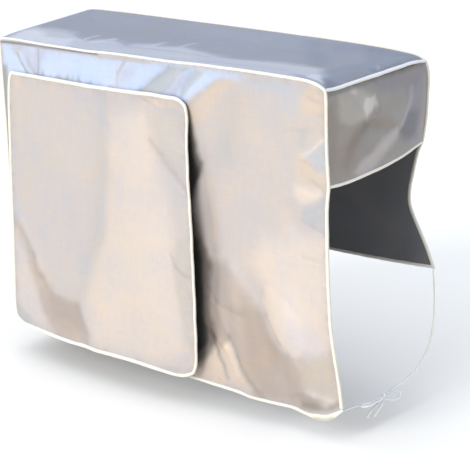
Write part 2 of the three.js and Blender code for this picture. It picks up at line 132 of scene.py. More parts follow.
# A stitch: where it lies as a share of half the tape's width, half its length and its radius as
# shares of the pitch, how deep it sits as a share of half the tape's thickness, and its lozenge.
STITCH_LINE = 0.48
STITCH_HALF = 0.34
STITCH_RADIUS = 0.075
STITCH_DEPTH = 0.6
STITCH_POINTS = [
    (-1, 0, 0), (-0.6, 1, 0), (-0.6, 0, 1), (-0.6, -1, 0), (-0.6, 0, -1),
    (0.6, 1, 0), (0.6, 0, 1), (0.6, -1, 0), (0.6, 0, -1), (1, 0, 0),
]
STITCH_FACES = [
    (0, 2, 1), (0, 3, 2), (0, 4, 3), (0, 1, 4), (9, 5, 6), (9, 6, 7), (9, 7, 8), (9, 8, 5),
    (1, 2, 6, 5), (2, 3, 7, 6), (3, 4, 8, 7), (4, 1, 5, 8),
]

# The ties' mesh: its steps, its sides, how square its section is, and how far from its ends it
# narrows.
TIE_STEP = 1.2
TIE_RING = 14
TIE_SQUARENESS = 0.8
TIE_TAPER = 1.4

# How many points an edge that lies on a face is put there by.
EDGE_POINTS = 400

# The shares of a soft fold's length over which it rises, and the share of a crease's width that
# its rounded line takes.
FOLD_RISE = (-0.15, 0.4)
CREASE_CORE = 0.6

# The bands, from the front's right and left sides, in which its folds come in, and the band along
# the top's edges in which it bends down to them.
RIGHT_SLACK = (8, 60)
LEFT_SLACK = (20, 80)
TOP_RIM = 78

# The unevenness of cloth in layers of size and height, and of its crumple in layers of size, level
# and depth. The others bend the lines of creases and of the painted reflections, highlights and
# shade.
WAVES = [(110, 1.0), (42, 0.25)]
CRUMPLE = [(38, 0.16, 0.2), (15, 0.05, 0.06)]
CREASE_WAVER_U = [(60, 1.4)]
CREASE_WAVER_V = [(54, 1.4)]
PAINTED_WAVER_U = [(34, 1.8), (11, 0.6)]
PAINTED_WAVER_V = [(30, 1.8), (10, 0.6)]

# How far from a seam the waves and creases come in, how far the puckers and the darkening near a
# seam reach from it, and the deepest crease for which its painted shade, and the painted highlight
# on a ridge, still grow.
WAVE_CALM = 12
PUCKER_REACH = 12
SEAM_DARK_REACH = 9
DEEPEST_SHADE = 2.4

# How much the lines of painted light waver beside a seam, and how far from the seam they waver in
# full.
SEAM_CALM = 0.1
CALM_REACH = 26.0

# The middle of the knot, how far from it the ties start, its size and the points of its line.
KNOT_AT = np.array([HALF, -15.0, -DROP - 13])
KNOT_REACH = 6.6
KNOT_SIZE = np.array([1.0, 1.25, 1.35])
KNOT_POINTS = 90

# The small knot at the end of the long tie: its turns, the points of its line, its radius at its
# ends and what its middle adds to it, and where it runs from and to past the tie's end.
END_TURNS = 2.3
END_POINTS = 60
END_RADIUS = (0.2, 1.15)
END_SPAN = (-1.8, 1.4)

# The colours of gaps between threads, of the darkening near seams and the tape's edges, of the
# painted sky reflection on tape that faces up, and of the painted shade on tape that is turned
# under.
GAP_GREY = (0.25, 0.25, 0.27, 1.0)
SEAM_DARK_GREY = (0.33, 0.31, 0.32, 1.0)
INNER_GAP = (0.02, 0.02, 0.022, 1.0)
INNER_SEAM_DARK = (0.2, 0.2, 0.2, 1.0)
TAPE_GAP = (0.5, 0.47, 0.42, 1.0)
TAPE_EDGE_DARK = (0.42, 0.38, 0.33, 1.0)
TAPE_SKY_REFLECTION = (0.74, 0.785, 0.88, 1.0)
TAPE_UNDER_SHADE = (0.56, 0.53, 0.45, 1.0)

FACING = {
    "front": np.array([0.0, -1.0, 0.0]),
    "back": np.array([0.0, 1.0, 0.0]),
    "left": np.array([-1.0, 0.0, 0.0]),
    "right": np.array([1.0, 0.0, 0.0]),
    "up": np.array([0.0, 0.0, 1.0]),
    "up_right": np.array([0.7, 0.0, 0.7]),
}

CORNER = {
    "front_top_left": (-HALF + 20, FRONT, TOP),
    "front_top_right": (HALF - 6, FRONT, TOP - 7),
    "rear_top_right": (HALF, REAR - 8, TOP - 7),
    "rear_top_left": (-HALF - 3, REAR - 12, TOP + 8),
    "front_hem_right": (HALF + 4, FRONT, -DROP),
    "front_hem_left": (-HALF + 6, FRONT, -DROP + 1),
    "rear_hem_left": (-HALF + 2, REAR, -DROP),
    "side_hem_front": (HALF - 6, FRONT, -SIDE_DROP),
    "side_hem_rear": (HALF - 17, REAR, -SIDE_DROP + 15),
    "tie_corner": (HALF + 4, REAR - 4, -BACK_DROP),
    "back_hem_left": (-HALF + 1, REAR, -BACK_DROP - 4),
    "flap_top_left": (-FLAP_LEFT, FRONT, -FLAP_TOP + 1),
    "flap_top_right": (FLAP_RIGHT - 14, FRONT, -FLAP_TOP - 7),
    "flap_hem_right": (FLAP_RIGHT, FRONT, -FLAP_HEM + 10),
    "flap_hem_left": (-FLAP_LEFT - 14, FRONT, -FLAP_HEM + 18),
}

# An edge bows off the straight line between its corners: at is the share of the way along.
Bow = namedtuple("Bow", "at x y z")
Edge = namedtuple("Edge", "start end bows face", defaults=[None])

# A fold is a soft ridge or trough along a line on a piece, from u, v to to_u, to_v: u runs along
# the piece and v up it, or to the back over the top. out is how far the cloth stands out there.
Fold = namedtuple("Fold", "u v to_u to_v width out")

# Painted light over the coating, as painted reflection, highlight and shade: a patch inside points
# u, v, which fades over soft to each side of its edge, or a streak along a line through points,
# width to each side of it. share is how much.
Patch = namedtuple("Patch", "colour share soft points")
Streak = namedtuple("Streak", "colour share width points")

EDGES = {
    "front_top": Edge("front_top_left", "front_top_right", [
        Bow(0.04, 0, 0, 1.8), Bow(0.17, 0, 0, 1.5), Bow(0.28, 0, 0, 1.8), Bow(0.41, 0, 0, 5.5),
        Bow(0.55, 0, 0, 7), Bow(0.67, 0, 0, 10), Bow(0.86, 0, 0, 12), Bow(0.95, 0, 0, 11),
        Bow(0.98, 1, 0, 6.5),
    ], "front"),
    "front_right_upper": Edge("front_top_right", "side_hem_front", [
        Bow(0.08, 1, 0, 0), Bow(0.33, -0.5, 0, 0), Bow(0.65, -1.5, 0, 0),
    ], "front"),
    "front_right_lower": Edge("side_hem_front", "front_hem_right", [
        Bow(0.1, -7, 0, 0), Bow(0.2, -9, 0, 0), Bow(0.32, -12, 0, 0), Bow(0.5, -13, 0, 0),
        Bow(0.62, -13, 0, 0), Bow(0.72, -10, 0, 0), Bow(0.82, -5.5, 0, 0), Bow(0.92, -1.5, 0, 0),
    ], "front"),
    "front_left": Edge("front_top_left", "front_hem_left", [
        Bow(0.18, 1, 0, 0), Bow(0.31, 2, 0, 0), Bow(0.53, 0, 0, 0), Bow(0.77, 0, 0, 0),
    ], "front"),
    "front_hem": Edge("front_hem_left", "front_hem_right", [
        Bow(0.08, 0, 0, -3), Bow(0.31, 0, 0, -7.5), Bow(0.57, 0, 0, -6.5),
        Bow(0.77, 0, 0, -11.5), Bow(0.86, 0, 0, -17), Bow(0.92, 0, 0, -18), Bow(0.965, 0, 0, -17.5),
    ], "front"),
    "rear_top": Edge("rear_top_left", "rear_top_right", [
        Bow(0.02, 0, 8, 0), Bow(0.38, 0, 8, 6), Bow(0.79, 0, 6, 10),
        Bow(0.93, 0, 2, 9), Bow(0.98, 0, 0, 6),
    ]),
    "rear_right_upper": Edge("rear_top_right", "side_hem_rear", [
        Bow(0.1, 6, -1, -1), Bow(0.37, 8, -1, -1), Bow(0.79, 4, 0, -1),
    ]),
    "rear_right_lower": Edge("side_hem_rear", "tie_corner", [
        Bow(0.08, -11, 0, -1), Bow(0.25, -26, 1, -3), Bow(0.4, -38, 2, -4),
        Bow(0.5, -40, 2, -4), Bow(0.6, -34, 2, -3), Bow(0.85, -13, 3, -1),
    ]),
    "rear_left_upper": Edge("rear_top_left", "back_hem_left", [
        Bow(0.18, -2, 2, 0), Bow(0.55, 1, 2, 0),
    ]),
    "rear_left_lower": Edge("back_hem_left", "rear_hem_left", [Bow(0.5, -2, 1, 0)]),
    "top_left": Edge("front_top_left", "rear_top_left", [
        Bow(0.22, -6, 0, 0), Bow(0.56, -3, 0, 0),
    ]),
    "top_right": Edge("front_top_right", "rear_top_right", [
        Bow(0.1, 1, 0, -1.5), Bow(0.23, 2, 0, 0), Bow(0.49, 4, 0, 2), Bow(0.7, 3, 0, 3.2),
        Bow(0.87, 2, 0, 3.5),
    ]),
    "right_hem": Edge("side_hem_front", "side_hem_rear", [
        Bow(0.1, 4, 0, -2.5), Bow(0.22, 7, 0, -3.5), Bow(0.43, 11, 0, -3.5), Bow(0.6, 12, 0, -2.5),
        Bow(0.73, 12, 0, -1), Bow(0.91, 8, 0, 3),
    ]),
    "left_hem": Edge("front_hem_left", "rear_hem_left", [
        Bow(0.27, -5, 0, -4), Bow(0.65, -5, 0, -2),
    ]),
    "back_hem": Edge("back_hem_left", "tie_corner", [
        Bow(0.25, 0, 5, -5), Bow(0.62, 0, 8, -10), Bow(0.87, 0, 6, -7),
    ]),
    "flap_top": Edge("flap_top_left", "flap_top_right", [
        Bow(0.55, 0, 0, 3), Bow(0.89, 0, 0, 9), Bow(0.96, 0, 0, 8),
    ], "flap"),
    "flap_right": Edge("flap_top_right", "flap_hem_right", [
        Bow(0.04, 4, 0, 0), Bow(0.1, 3, 0, 0), Bow(0.24, 3, 0, 0), Bow(0.35, 5, 0, 0),
        Bow(0.48, 7, 0, 0), Bow(0.71, 8.5, 0, 0), Bow(0.9, 8, 0, 0), Bow(0.96, 7, 0, 0),
    ], "flap"),
    "flap_hem": Edge("flap_hem_left", "flap_hem_right", [
        Bow(0.03, 0, 0, -9), Bow(0.14, 0, 0, -11.5), Bow(0.3, 0, 0, -12.5), Bow(0.5, 0, 0, -11),
        Bow(0.7, 0, 0, -8.5), Bow(0.86, 0, 0, -11), Bow(0.95, 0, 0, -9.5),
    ], "flap"),
    "flap_left": Edge("flap_top_left", "flap_hem_left", [
        Bow(0.04, -4, 0, 0), Bow(0.3, -4.5, 0, 0), Bow(0.6, -4, 0, 0), Bow(0.81, -3.5, 0, 0),
        Bow(0.96, -4, 0, 0),
    ], "flap"),
}

# The main folds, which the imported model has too, its hollow beside the flap deeper.
MAIN_FOLDS = {
    "front": [
        Fold(110, -130, 128, -480, 20, -7),
        Fold(172, -340, 222, -540, 20, 6),
        Fold(205, -330, 300, -560, 30, -9),
        Fold(268, -350, 350, -520, 42, 9),
        Fold(355, -150, 320, -210, 20, -3),
        Fold(350, -265, 315, -235, 20, -3),
    ],
    "flap": [
        Fold(-352, -320, -315, -390, 20, -4),
        Fold(-288, -425, -265, -455, 18, -5),
        Fold(-230, -478, -170, -530, 20, -4),
        Fold(-215, -150, -190, -420, 34, 3),
        Fold(-60, -160, -20, -420, 48, 4),
        Fold(40, -180, 60, -430, 26, -3),
    ],
    "right": [Fold(-70, -60, 60, -100, 30, -4), Fold(-90, -130, 100, -40, 22, 3)],
    "back": [Fold(330, -90, 120, -300, 44, -5), Fold(-250, -80, -180, -350, 50, 4)],
    "left": [Fold(-60, -120, 30, -500, 34, -5), Fold(50, -60, 80, -480, 28, 4)],
    "top": [],
}


def run(points, shapes):
    """Folds that run on from point to point, from rows of width and out."""
    return [Fold(*a, *b, *shape) for a, b, shape in zip(points, points[1:], shapes)]


# Finer creases with a sharp line along their middle.
CREASES = {
    "front": [
        *run([(-333, -29), (-324, -45), (-310, -60)], [(4, -1.6), (4, -1.6)]),
        Fold(-309, -28, -288, -58, 4, -1.2),
        Fold(-279, -5, -280, -62, 3.5, -1.7),
        Fold(-290, -12, -293, -30, 3, 0.8),
        Fold(-270, -46, -270, -63, 3.5, -0.9),
        Fold(-257, -49, -256, -63, 3, 0.9),
        Fold(-236, -50, -235, -61, 3, 0.8),
        Fold(-217, -46, -219, -59, 3.5, -0.8),
        Fold(-199, -46, -203, -61, 3.5, -1),
        Fold(-191, -43, -195, -60, 3, 0.9),
        Fold(-178, -45, -172, -61, 3.5, -1.1),
        Fold(-166, -51, -162, -63, 3, 0.7),
        Fold(-146, -52, -142, -64, 3.5, -0.8),
        Fold(-123, -52, -121, -64, 3.5, -0.8),
        Fold(-100, -52, -106, -66, 3.5, 0.8),
        Fold(-58, -7, -71, -31, 3, -1.5),
        Fold(-67, -17, -81, -61, 5, 0.9),
        Fold(-88, -30, -100, -52, 4, -0.6),
        Fold(53, -2, -27, -60, 5, -2.2),
        Fold(73, -12, 22, -56, 8, 1.2),
        *run([(111, -3), (75, -39), (55, -62)], [(5, -1.6), (5, -1.2)]),
        Fold(136, -3, 94, -44, 6, 1.2),
        *run([(173, -12), (136, -30), (97, -62)], [(5, -1.2), (5, -1.4)]),
        Fold(193, -52, 173, -150, 30, -1),
        Fold(362, -25, 393, -31, 4, -1.4),
        Fold(308, -84, 360, -74, 5, -0.8),
        Fold(342, -121, 392, -84, 4, 1.5),
        Fold(342, -128, 369, -139, 5, -1),
        Fold(359, -160, 388, -174, 4, -1.5),
        Fold(325, -179, 379, -190, 10, 1.2),
        *run([(332, -232), (355, -238), (389, -247)], [(4, -1), (4, -1.4)]),
        Fold(334, -294, 378, -295, 3.5, -1.2),
        Fold(383, -186, 370, -198, 4, -0.9),
        *run([(116, -385), (133, -404), (176, -409), (203, -419)], [(5, -1), (5, -1), (5, -0.9)]),
        Fold(115, -413, 124, -439, 5, 0.3),
        *run([(245, -364), (249, -408), (271, -443), (305, -463), (331, -470), (342, -513)],
             [(5, -1.2), (4.5, -1.9), (4.5, -1.7), (6, -1), (14, -1.2)]),
        *run([(123, -466), (142, -490), (158, -517), (167, -535)],
             [(5, -1.6), (6, -1.2), (6, -0.6)]),
        *run([(131, -461), (167, -481), (191, -525)], [(5, 1.6), (6, 1.6)]),
        *run([(173, -461), (194, -495), (222, -532), (246, -556)],
             [(6, -1.3), (6, -1.4), (5, -1.2)]),
        *run([(327, -521), (359, -529), (389, -535)], [(4, 1.2), (4, 1.4)]),
        Fold(295, -548, 336, -528, 5, -1.4),
        Fold(144, -540, 155, -550, 3, -0.9),
        Fold(115, -548, 119, -558, 3, 0.7),
        Fold(148, -410, 194, -445, 12, 0.9),
        Fold(205, -389, 240, -462, 22, -1),
    ],
    "flap": [
        *run([(-360, -342), (-313, -400), (-278, -453), (-232, -465), (-180, -467), (-157, -520)],
             [(8, -1.4), (9, -1.5), (10, -1.2), (10, -0.8), (8, -1)]),
        Fold(-293, -461, -265, -516, 8, -0.8),
        Fold(-336, -339, -272, -418, 14, 0.7),
        *run([(-105, -80), (-104, -203), (-128, -343), (-168, -453)],
             [(34, -0.5), (36, -0.6), (34, -0.6)]),
        *run([(11, -135), (37, -159), (70, -188), (100, -211)], [(7, -0.7), (6, -0.9), (6, -0.8)]),
        Fold(47, -113, 93, -158, 16, 0.8),
        *run([(54, -326), (63, -351), (85, -361), (107, -359)], [(6, -0.5), (5, -0.6), (5, -0.5)]),
        Fold(98, -439, 111, -490, 8, 0.8),
        *run([(-24, -65), (-7, -70), (15, -78)], [(3, -1.2), (3, -1)]),
        Fold(7, -65, 32, -74, 3, 0.8),
        Fold(-125, -70, -105, -73, 3, -0.8),
        Fold(-105, -70, -85, -71, 3, 0.7),
        Fold(-360, -292, -347, -309, 4, 0.8),
        Fold(-363, -319, -347, -337, 5, -0.6),
        Fold(-235, -502, -192, -501, 8, -0.6),
    ],
    "top": [
        Fold(-373, -145, -397, -45, 10, -1),
        *run([(-373, -32), (-286, -27), (-221, -63), (-168, -34), (-119, -57), (-14, -19),
              (94, -43), (181, -39), (294, -28)],
             [(6, -1.4), (6, -1.6), (6, -1.4), (5, -1.4), (7, -1.4), (8, -1.2), (7, -1.3),
              (9, -1)]),
        Fold(-224, -75, -229, -28, 3.5, 1.2),
        Fold(-188, -75, -183, -27, 3.5, 1.1),
        Fold(-78, -53, -74, -13, 3.5, 1),
        Fold(-18, -30, -18, 8, 4, 0.8),
        Fold(318, -91, 338, -71, 4, 1.3),
        Fold(352, -87, 417, -146, 5, -1.8),
        Fold(373, 25, 413, -12, 4, 0.4),
        Fold(191, 47, 267, 35, 20, -0.8),
        Fold(-97, 104, 74, 77, 26, 0.8),
    ],
    "right": [
        Fold(-77, -2, -65, -24, 3.5, 1.4),
        Fold(-90, -12, -56, -39, 7, -0.9),
        *run([(-17, -40), (-16, -64), (-37, -79), (-80, -109)], [(4, -1.4), (6, -1.3), (8, -1.3)]),
        Fold(-40, -35, -37, -66, 8, 1.2),
        *run([(46, -97), (8, -121), (-51, -149)], [(9, 0.7), (10, 0.7)]),
        Fold(51, -110, -15, -144, 9, -0.6),
        *run([(99, -47), (73, -83), (53, -109), (50, -135)], [(9, -0.6), (9, -0.7), (9, -0.5)]),
        Fold(64, -54, 54, -99, 5, 1),
        Fold(-106, -41, -115, -121, 12, -0.8),
        Fold(9, -32, -11, -65, 8, 0.7),
        Fold(77, -128, 94, -118, 5, 0.8),
    ],
    "left": [
        Fold(-96, -40, -60, -200, 14, 2.0),
        Fold(20, -30, -30, -160, 12, -2.2),
        Fold(90, -120, 40, -300, 14, -2.4),
        Fold(-40, -330, 70, -420, 13, 2.4),
        Fold(-90, -420, -20, -530, 12, -2.2),
        Fold(100, -360, 60, -520, 12, 2.0),
    ],
    "back": [
        Fold(-350, -30, -260, -180, 16, -2.4),
        Fold(-120, -20, -60, -150, 14, -2.0),
        Fold(60, -40, 10, -240, 16, 2.2),
        Fold(250, -30, 330, -170, 14, -2.4),
        Fold(-330, -200, -210, -340, 15, 2.4),
        Fold(180, -260, 330, -330, 14, 2.0),
        Fold(-60, -330, 60, -290, 13, -1.8),
    ],
}

# Painted reflections, highlights and shade over each piece's base colour, as patches and streaks.
# On the left side and back they are lighter and darker streaks, painted in the same way.
PAINTED_LIGHT_MARKS = {
    "front": [
        # Painted sky reflection on the band along the top, above the flap.
        Patch("ice", 0.95, 9, [
            (-377, -4), (-218, -6), (-65, -3), (79, 1), (174, 1), (227, -1), (209, -10), (173, -12),
            (138, -28), (112, -47), (94, -64), (79, -84), (-124, -91), (-368, -83), (-376, -43),
        ]),
        # Painted shade beside the flap's left side.
        Patch("ash", 0.85, 6, [
            (-390, -45), (-366, -49), (-364, -75), (-367, -190), (-389, -388), (-425, -394),
        ]),
        Patch("lilac", 0.75, 8, [(-325, -12), (-256, -12), (-282, -55), (-313, -44)]),
        Patch("sand", 0.55, 5, [(-347, -7), (-322, -8), (-330, -25), (-343, -23)]),
        Streak("sand", 0.7, 3.2, [(-120, -5), (-65, -4), (8, -3)]),
        # Painted shadow under the top tape.
        Streak("graphite", 0.5, 3, [(-377, -6), (-324, -3), (-218, -3), (-123, -2)]),
        Streak("ink", 0.7, 1.7, [(-377, -5), (-324, -3), (-218, -3), (-122, -2)]),
        # Painted shade in the small wrinkles above the flap.
        Streak("mist", 0.9, 3, [(-335, -22), (-324, -43), (-312, -58)]),
        Streak("mist", 0.75, 3, [(-309, -32), (-300, -46), (-288, -59)]),
        Streak("mist", 0.9, 2.6, [(-276, -5), (-279, -33), (-283, -61)]),
        Streak("mist", 0.8, 2.6, [(-53, -7), (-64, -18), (-73, -35)]),
        Patch("mist", 0.75, 3, [
            (-278, -62), (-268, -46), (-261, -58), (-250, -51), (-240, -59), (-228, -51),
            (-219, -59), (-204, -46), (-197, -55), (-191, -43), (-185, -57), (-176, -45),
            (-167, -62), (-156, -59), (-146, -54), (-136, -62), (-123, -55), (-111, -61),
            (-95, -54), (-81, -57), (-75, -25), (-70, -24), (-74, -64), (-92, -77), (-226, -74),
        ]),
        Patch("lilac", 0.6, 10, [(-72, -17), (-22, -12), (-39, -31), (-81, -65)]),
        Patch("mist", 0.9, 3.5, [
            (50, -4), (102, -2), (72, -22), (31, -60), (-37, -66), (-24, -56),
        ]),
        Patch("lilac", 0.85, 6, [(80, -15), (103, -9), (76, -36), (55, -59), (26, -62)]),
        Patch("mist", 0.75, 5, [(115, -2), (136, -3), (93, -47), (69, -61), (80, -35)]),
        Patch("ice", 1, 5, [
            (138, -5), (205, -2), (160, -14), (117, -41), (97, -64), (83, -66), (108, -32),
        ]),
        Patch("peach", 0.9, 9, [
            (178, -12), (194, -12), (172, -35), (145, -62), (127, -88), (108, -101), (84, -100),
            (87, -65), (117, -44), (148, -24),
        ]),
        Patch("fog", 0.9, 12, [
            (214, -5), (326, -3), (351, -7), (338, -17), (261, -24), (215, -18),
        ]),
        Patch("fog", 0.65, 14, [(308, -15), (340, -15), (340, -47), (316, -58), (302, -40)]),
        Patch("peach", 0.75, 8, [
            (351, -5), (380, -3), (395, -13), (396, -43), (348, -48), (337, -28),
        ]),
        Patch("mist", 0.55, 9, [(332, -74), (351, -77), (345, -109), (333, -104)]),
        Patch("fog", 0.9, 4, [(345, -121), (392, -88), (393, -112), (389, -142), (367, -137)]),
        Streak("pearl", 0.8, 3, [(340, -120), (392, -83)]),
        Patch("peach", 0.55, 8, [
            (319, -128), (342, -121), (391, -152), (390, -170), (351, -165), (324, -149),
        ]),
        Patch("cream", 0.7, 9, [(325, -174), (378, -170), (379, -192), (336, -203), (320, -190)]),
        Patch("mist", 0.6, 7, [(336, -203), (390, -179), (389, -242), (357, -239), (338, -226)]),
        Patch("mist", 0.35, 22, [(169, -79), (200, -82), (186, -148), (139, -184), (133, -157)]),
        Patch("cream", 0.8, 26, [
            (254, -272), (391, -244), (396, -353), (405, -434), (330, -415), (294, -370),
            (243, -354), (217, -320),
        ]),
        # Painted shade and painted highlights on the slanting folds at the lower right.
        Patch("umber", 1, 13, [
            (119, -340), (162, -330), (195, -362), (220, -394), (243, -411), (257, -440),
            (283, -457), (310, -465), (333, -487), (336, -511), (344, -531), (294, -561),
            (242, -555), (215, -530), (190, -478), (159, -437), (126, -406), (118, -381),
        ]),
        Patch("taupe", 0.85, 13, [
            (187, -401), (230, -407), (247, -435), (272, -464), (271, -510), (283, -552),
            (246, -547), (225, -515), (207, -465),
        ]),
        Patch("cream", 1, 4.5, [
            (251, -356), (265, -352), (300, -369), (331, -398), (342, -444), (327, -467),
            (303, -460), (272, -439), (251, -414), (241, -383),
        ]),
        Patch("blush", 0.8, 14, [
            (299, -403), (340, -403), (378, -432), (370, -458), (331, -459), (305, -443),
        ]),
        Patch("sand", 0.85, 12, [(327, -474), (393, -443), (405, -529), (372, -526), (338, -511)]),
        Patch("umber", 0.8, 9, [
            (283, -541), (333, -517), (362, -527), (368, -542), (334, -559), (290, -565),
        ]),
        Patch("olive", 0.35, 9, [(319, -533), (349, -526), (368, -535), (360, -549), (331, -550)]),
        Patch("olive", 0.6, 6, [
            (328, -541), (353, -539), (374, -545), (397, -529), (407, -533), (389, -548),
            (356, -553), (321, -555),
        ]),
        Patch("peach", 0.9, 5, [
            (123, -455), (141, -464), (173, -479), (192, -518), (214, -541), (190, -544),
            (172, -526), (149, -493),
        ]),
        Patch("peach", 0.9, 7, [
            (100, -502), (132, -492), (150, -510), (167, -542), (152, -557), (81, -558), (73, -541),
        ]),
        Patch("taupe", 0.85, 6, [
            (109, -390), (128, -399), (155, -431), (176, -464), (154, -482), (127, -463),
            (117, -436),
        ]),
        Streak("cream", 0.5, 10, [(129, -193), (131, -247), (133, -296)]),
        Patch("umber", 0.5, 9, [
            (110, -341), (162, -330), (191, -360), (218, -398), (182, -405), (122, -393),
        ]),
        Streak("taupe", 0.6, 3, [(116, -385), (133, -404), (170, -409), (199, -416)]),
        Streak("bark", 0.35, 5, [(123, -466), (142, -490), (158, -517), (167, -533)]),
        Streak("bark", 0.3, 7, [(173, -461), (194, -492), (215, -526), (242, -555)]),
        # Painted shadow in the hollow beside the flap, darkest along the flap's edge.
        Patch("dusk", 1, 9, [
            (64, -61), (90, -63), (95, -88), (102, -108), (109, -129), (107, -145), (111, -157),
            (116, -165), (112, -182), (104, -198), (97, -215), (94, -233), (93, -255), (99, -277),
            (107, -301), (115, -323), (123, -345), (123, -380), (124, -407), (126, -433),
            (133, -451), (144, -465), (135, -482), (127, -495), (117, -508), (100, -524),
            (44, -536),
        ]),
        Patch("ink", 0.95, 5, [
            (63, -72), (84, -72), (89, -96), (93, -113), (95, -130), (93, -152), (99, -167),
            (106, -175), (103, -191), (94, -208), (87, -228), (85, -255), (88, -276), (94, -299),
            (99, -321), (105, -342), (107, -373), (108, -408), (110, -435), (118, -457),
            (119, -475), (113, -490), (96, -506), (45, -517),
        ]),
    ],
    "flap": [
        Patch("cream", 0.6, 24, [
            (-99, -107), (-60, -99), (-11, -89), (14, -135), (41, -201), (72, -294), (79, -407),
            (92, -498), (3, -541), (-146, -532), (-163, -456), (-139, -377), (-109, -322),
            (-93, -202),
        ]),
        Patch("cream", 0.3, 10, [(-59, -102), (-8, -93), (-1, -130), (-59, -141)]),
        Streak("mist", 0.3, 14, [
            (-107, -77), (-104, -168), (-110, -258), (-122, -330), (-147, -378), (-167, -438),
        ]),
        Patch("oat", 0.75, 12, [
            (16, -102), (46, -72), (93, -77), (102, -195), (79, -193), (47, -165), (26, -147),
        ]),
        Patch("oat", 0.75, 10, [
            (67, -302), (105, -295), (106, -491), (88, -480), (69, -409), (58, -357),
        ]),
        # Painted shade along the slanting fold at the lower left.
        Patch("umber", 0.85, 11, [
            (-362, -341), (-348, -351), (-306, -398), (-270, -453), (-232, -463), (-186, -462),
            (-173, -485), (-154, -517), (-158, -546), (-237, -545), (-265, -522), (-285, -498),
            (-298, -458), (-332, -395),
        ]),
        Patch("taupe", 0.6, 10, [
            (-280, -458), (-232, -467), (-180, -467), (-162, -509), (-208, -527), (-258, -507),
        ]),
        Patch("blush", 0.45, 10, [
            (-361, -370), (-335, -404), (-310, -453), (-288, -494), (-272, -526), (-334, -529),
            (-363, -507),
        ]),
        Patch("mist", 0.85, 8, [
            (-376, -494), (-351, -505), (-315, -528), (-360, -538), (-381, -523),
        ]),
        Patch("fog", 0.65, 10, [
            (-363, -289), (-342, -312), (-320, -331), (-358, -342), (-368, -320),
        ]),
        Patch("peach", 0.7, 6, [(-357, -66), (-324, -66), (-327, -83), (-357, -86)]),
        Patch("peach", 0.8, 4, [(-26, -66), (7, -63), (74, -62), (88, -72), (32, -76), (-6, -75)]),
        Streak("fog", 0.6, 3, [(-24, -65), (-7, -70), (13, -78)]),
        Streak("taupe", 0.35, 5, [(9, -135), (33, -158), (60, -184), (95, -210)]),
        Streak("taupe", 0.35, 4, [(54, -329), (63, -351), (80, -362), (104, -361)]),
    ],
    "top": [
        # Painted shade, darker towards the back of the top.
        Patch("steel", 0.95, 24, [
            (157, 103), (311, 282), (455, 88), (416, -19), (426, -156), (335, -81),
        ]),
        Patch("slate", 0.7, 16, [(176, 113), (249, 153), (340, 40), (320, -39)]),
        # Painted reflection, lighter along the top's front edge.
        Patch("pale", 0.95, 14, [
            (-369, -153), (-401, -37), (-373, -32), (-348, -19), (-296, -22), (-251, -49),
            (-219, -62), (-204, -44), (-168, -34), (-129, -52), (-90, -31), (-55, -32), (-14, -19),
            (52, -38), (94, -43), (138, -46), (181, -39), (258, -31), (297, -27), (346, -75),
            (407, -152), (358, -148), (226, -143), (96, -148), (-84, -159), (-231, -166),
            (-338, -166),
        ]),
        Patch("lit", 1, 12, [
            (-345, -150), (-390, -62), (-351, -52), (-309, -80), (-271, -80), (-248, -68),
            (-191, -144), (-274, -151),
        ]),
        Streak("lit", 0.5, 5, [(-224, -75), (-231, -44), (-229, -28)]),
        Streak("lit", 0.5, 5, [(-188, -75), (-188, -45), (-179, -31)]),
        Streak("lit", 0.4, 5, [(-78, -53), (-74, -32), (-74, -13)]),
        Streak("lit", 0.35, 6, [(-24, -24), (-23, -4), (-18, 8)]),
        Patch("slate", 0.6, 5, [(300, -100), (330, -100), (361, -107), (389, -131), (349, -138)]),
        Patch("lit", 1, 3, [(334, -106), (330, -84), (345, -79), (377, -114), (357, -113)]),
        Patch("indigo", 0.8, 6, [(358, -92), (373, -92), (407, -104), (434, -152), (421, -159)]),
        Streak("indigo", 0.5, 5, [(383, -4), (407, -7), (421, -16)]),
        Streak("lit", 0.3, 2, [(379, 19), (407, -7)]),
        Streak("indigo", 0.3, 30, [(249, 97), (319, 117), (392, 113)]),
        Streak("indigo", 0.7, 5, [(409, -135), (401, -76), (397, 4), (397, 63)]),
        Streak("lit", 0.35, 3, [(-360, -98), (-278, -74), (-162, -60)]),
        Streak("lit", 0.4, 3, [(-111, -109), (-23, -98), (56, -82)]),
        Streak("lit", 0.3, 3, [(-237, -111), (-89, -107)]),
        Streak("slate", 0.45, 3, [(-120, -76), (-37, -60), (81, -59)]),
        Streak("slate", 0.35, 3, [(93, -97), (200, -90), (278, -80)]),
    ],
    "right": [
        # Painted shade and painted highlights of the slanting folds.
        Patch("walnut", 0.3, 10, [
            (-124, -102), (-79, -96), (-23, -112), (-46, -157), (-123, -158),
        ]),
        Patch("walnut", 0.5, 7, [
            (-132, -26), (-115, -29), (-108, -73), (-117, -147), (-137, -158), (-139, -99),
        ]),
        Patch("shell", 0.75, 7, [
            (-105, -16), (-75, -9), (-45, -20), (-22, -33), (-18, -53), (-42, -74), (-78, -73),
            (-100, -62),
        ]),
        Patch("pearl", 0.8, 4, [
            (-40, -34), (-17, -35), (-10, -55), (-16, -72), (-35, -76), (-44, -51),
        ]),
        Patch("pearl", 0.45, 4, [(-79, -5), (-62, -10), (-60, -26), (-73, -22)]),
        Streak("walnut", 0.65, 11, [(-13, -61), (-32, -77), (-56, -91), (-77, -110), (-89, -133)]),
        Patch("walnut", 0.55, 7, [(-22, -74), (25, -81), (43, -96), (14, -103), (-23, -94)]),
        Patch("pebble", 0.7, 8, [
            (40, -99), (53, -115), (7, -139), (-26, -158), (-62, -166), (-72, -151), (-40, -131),
            (0, -112),
        ]),
        Patch("plum", 0.6, 10, [(-29, -11), (60, -6), (59, -36), (-4, -36)]),
        Patch("plum", 0.65, 12, [
            (60, -19), (108, -12), (104, -137), (66, -139), (50, -115), (63, -77),
        ]),
        Patch("graphite", 0.55, 10, [(68, -81), (95, -84), (91, -127), (63, -131), (53, -112)]),
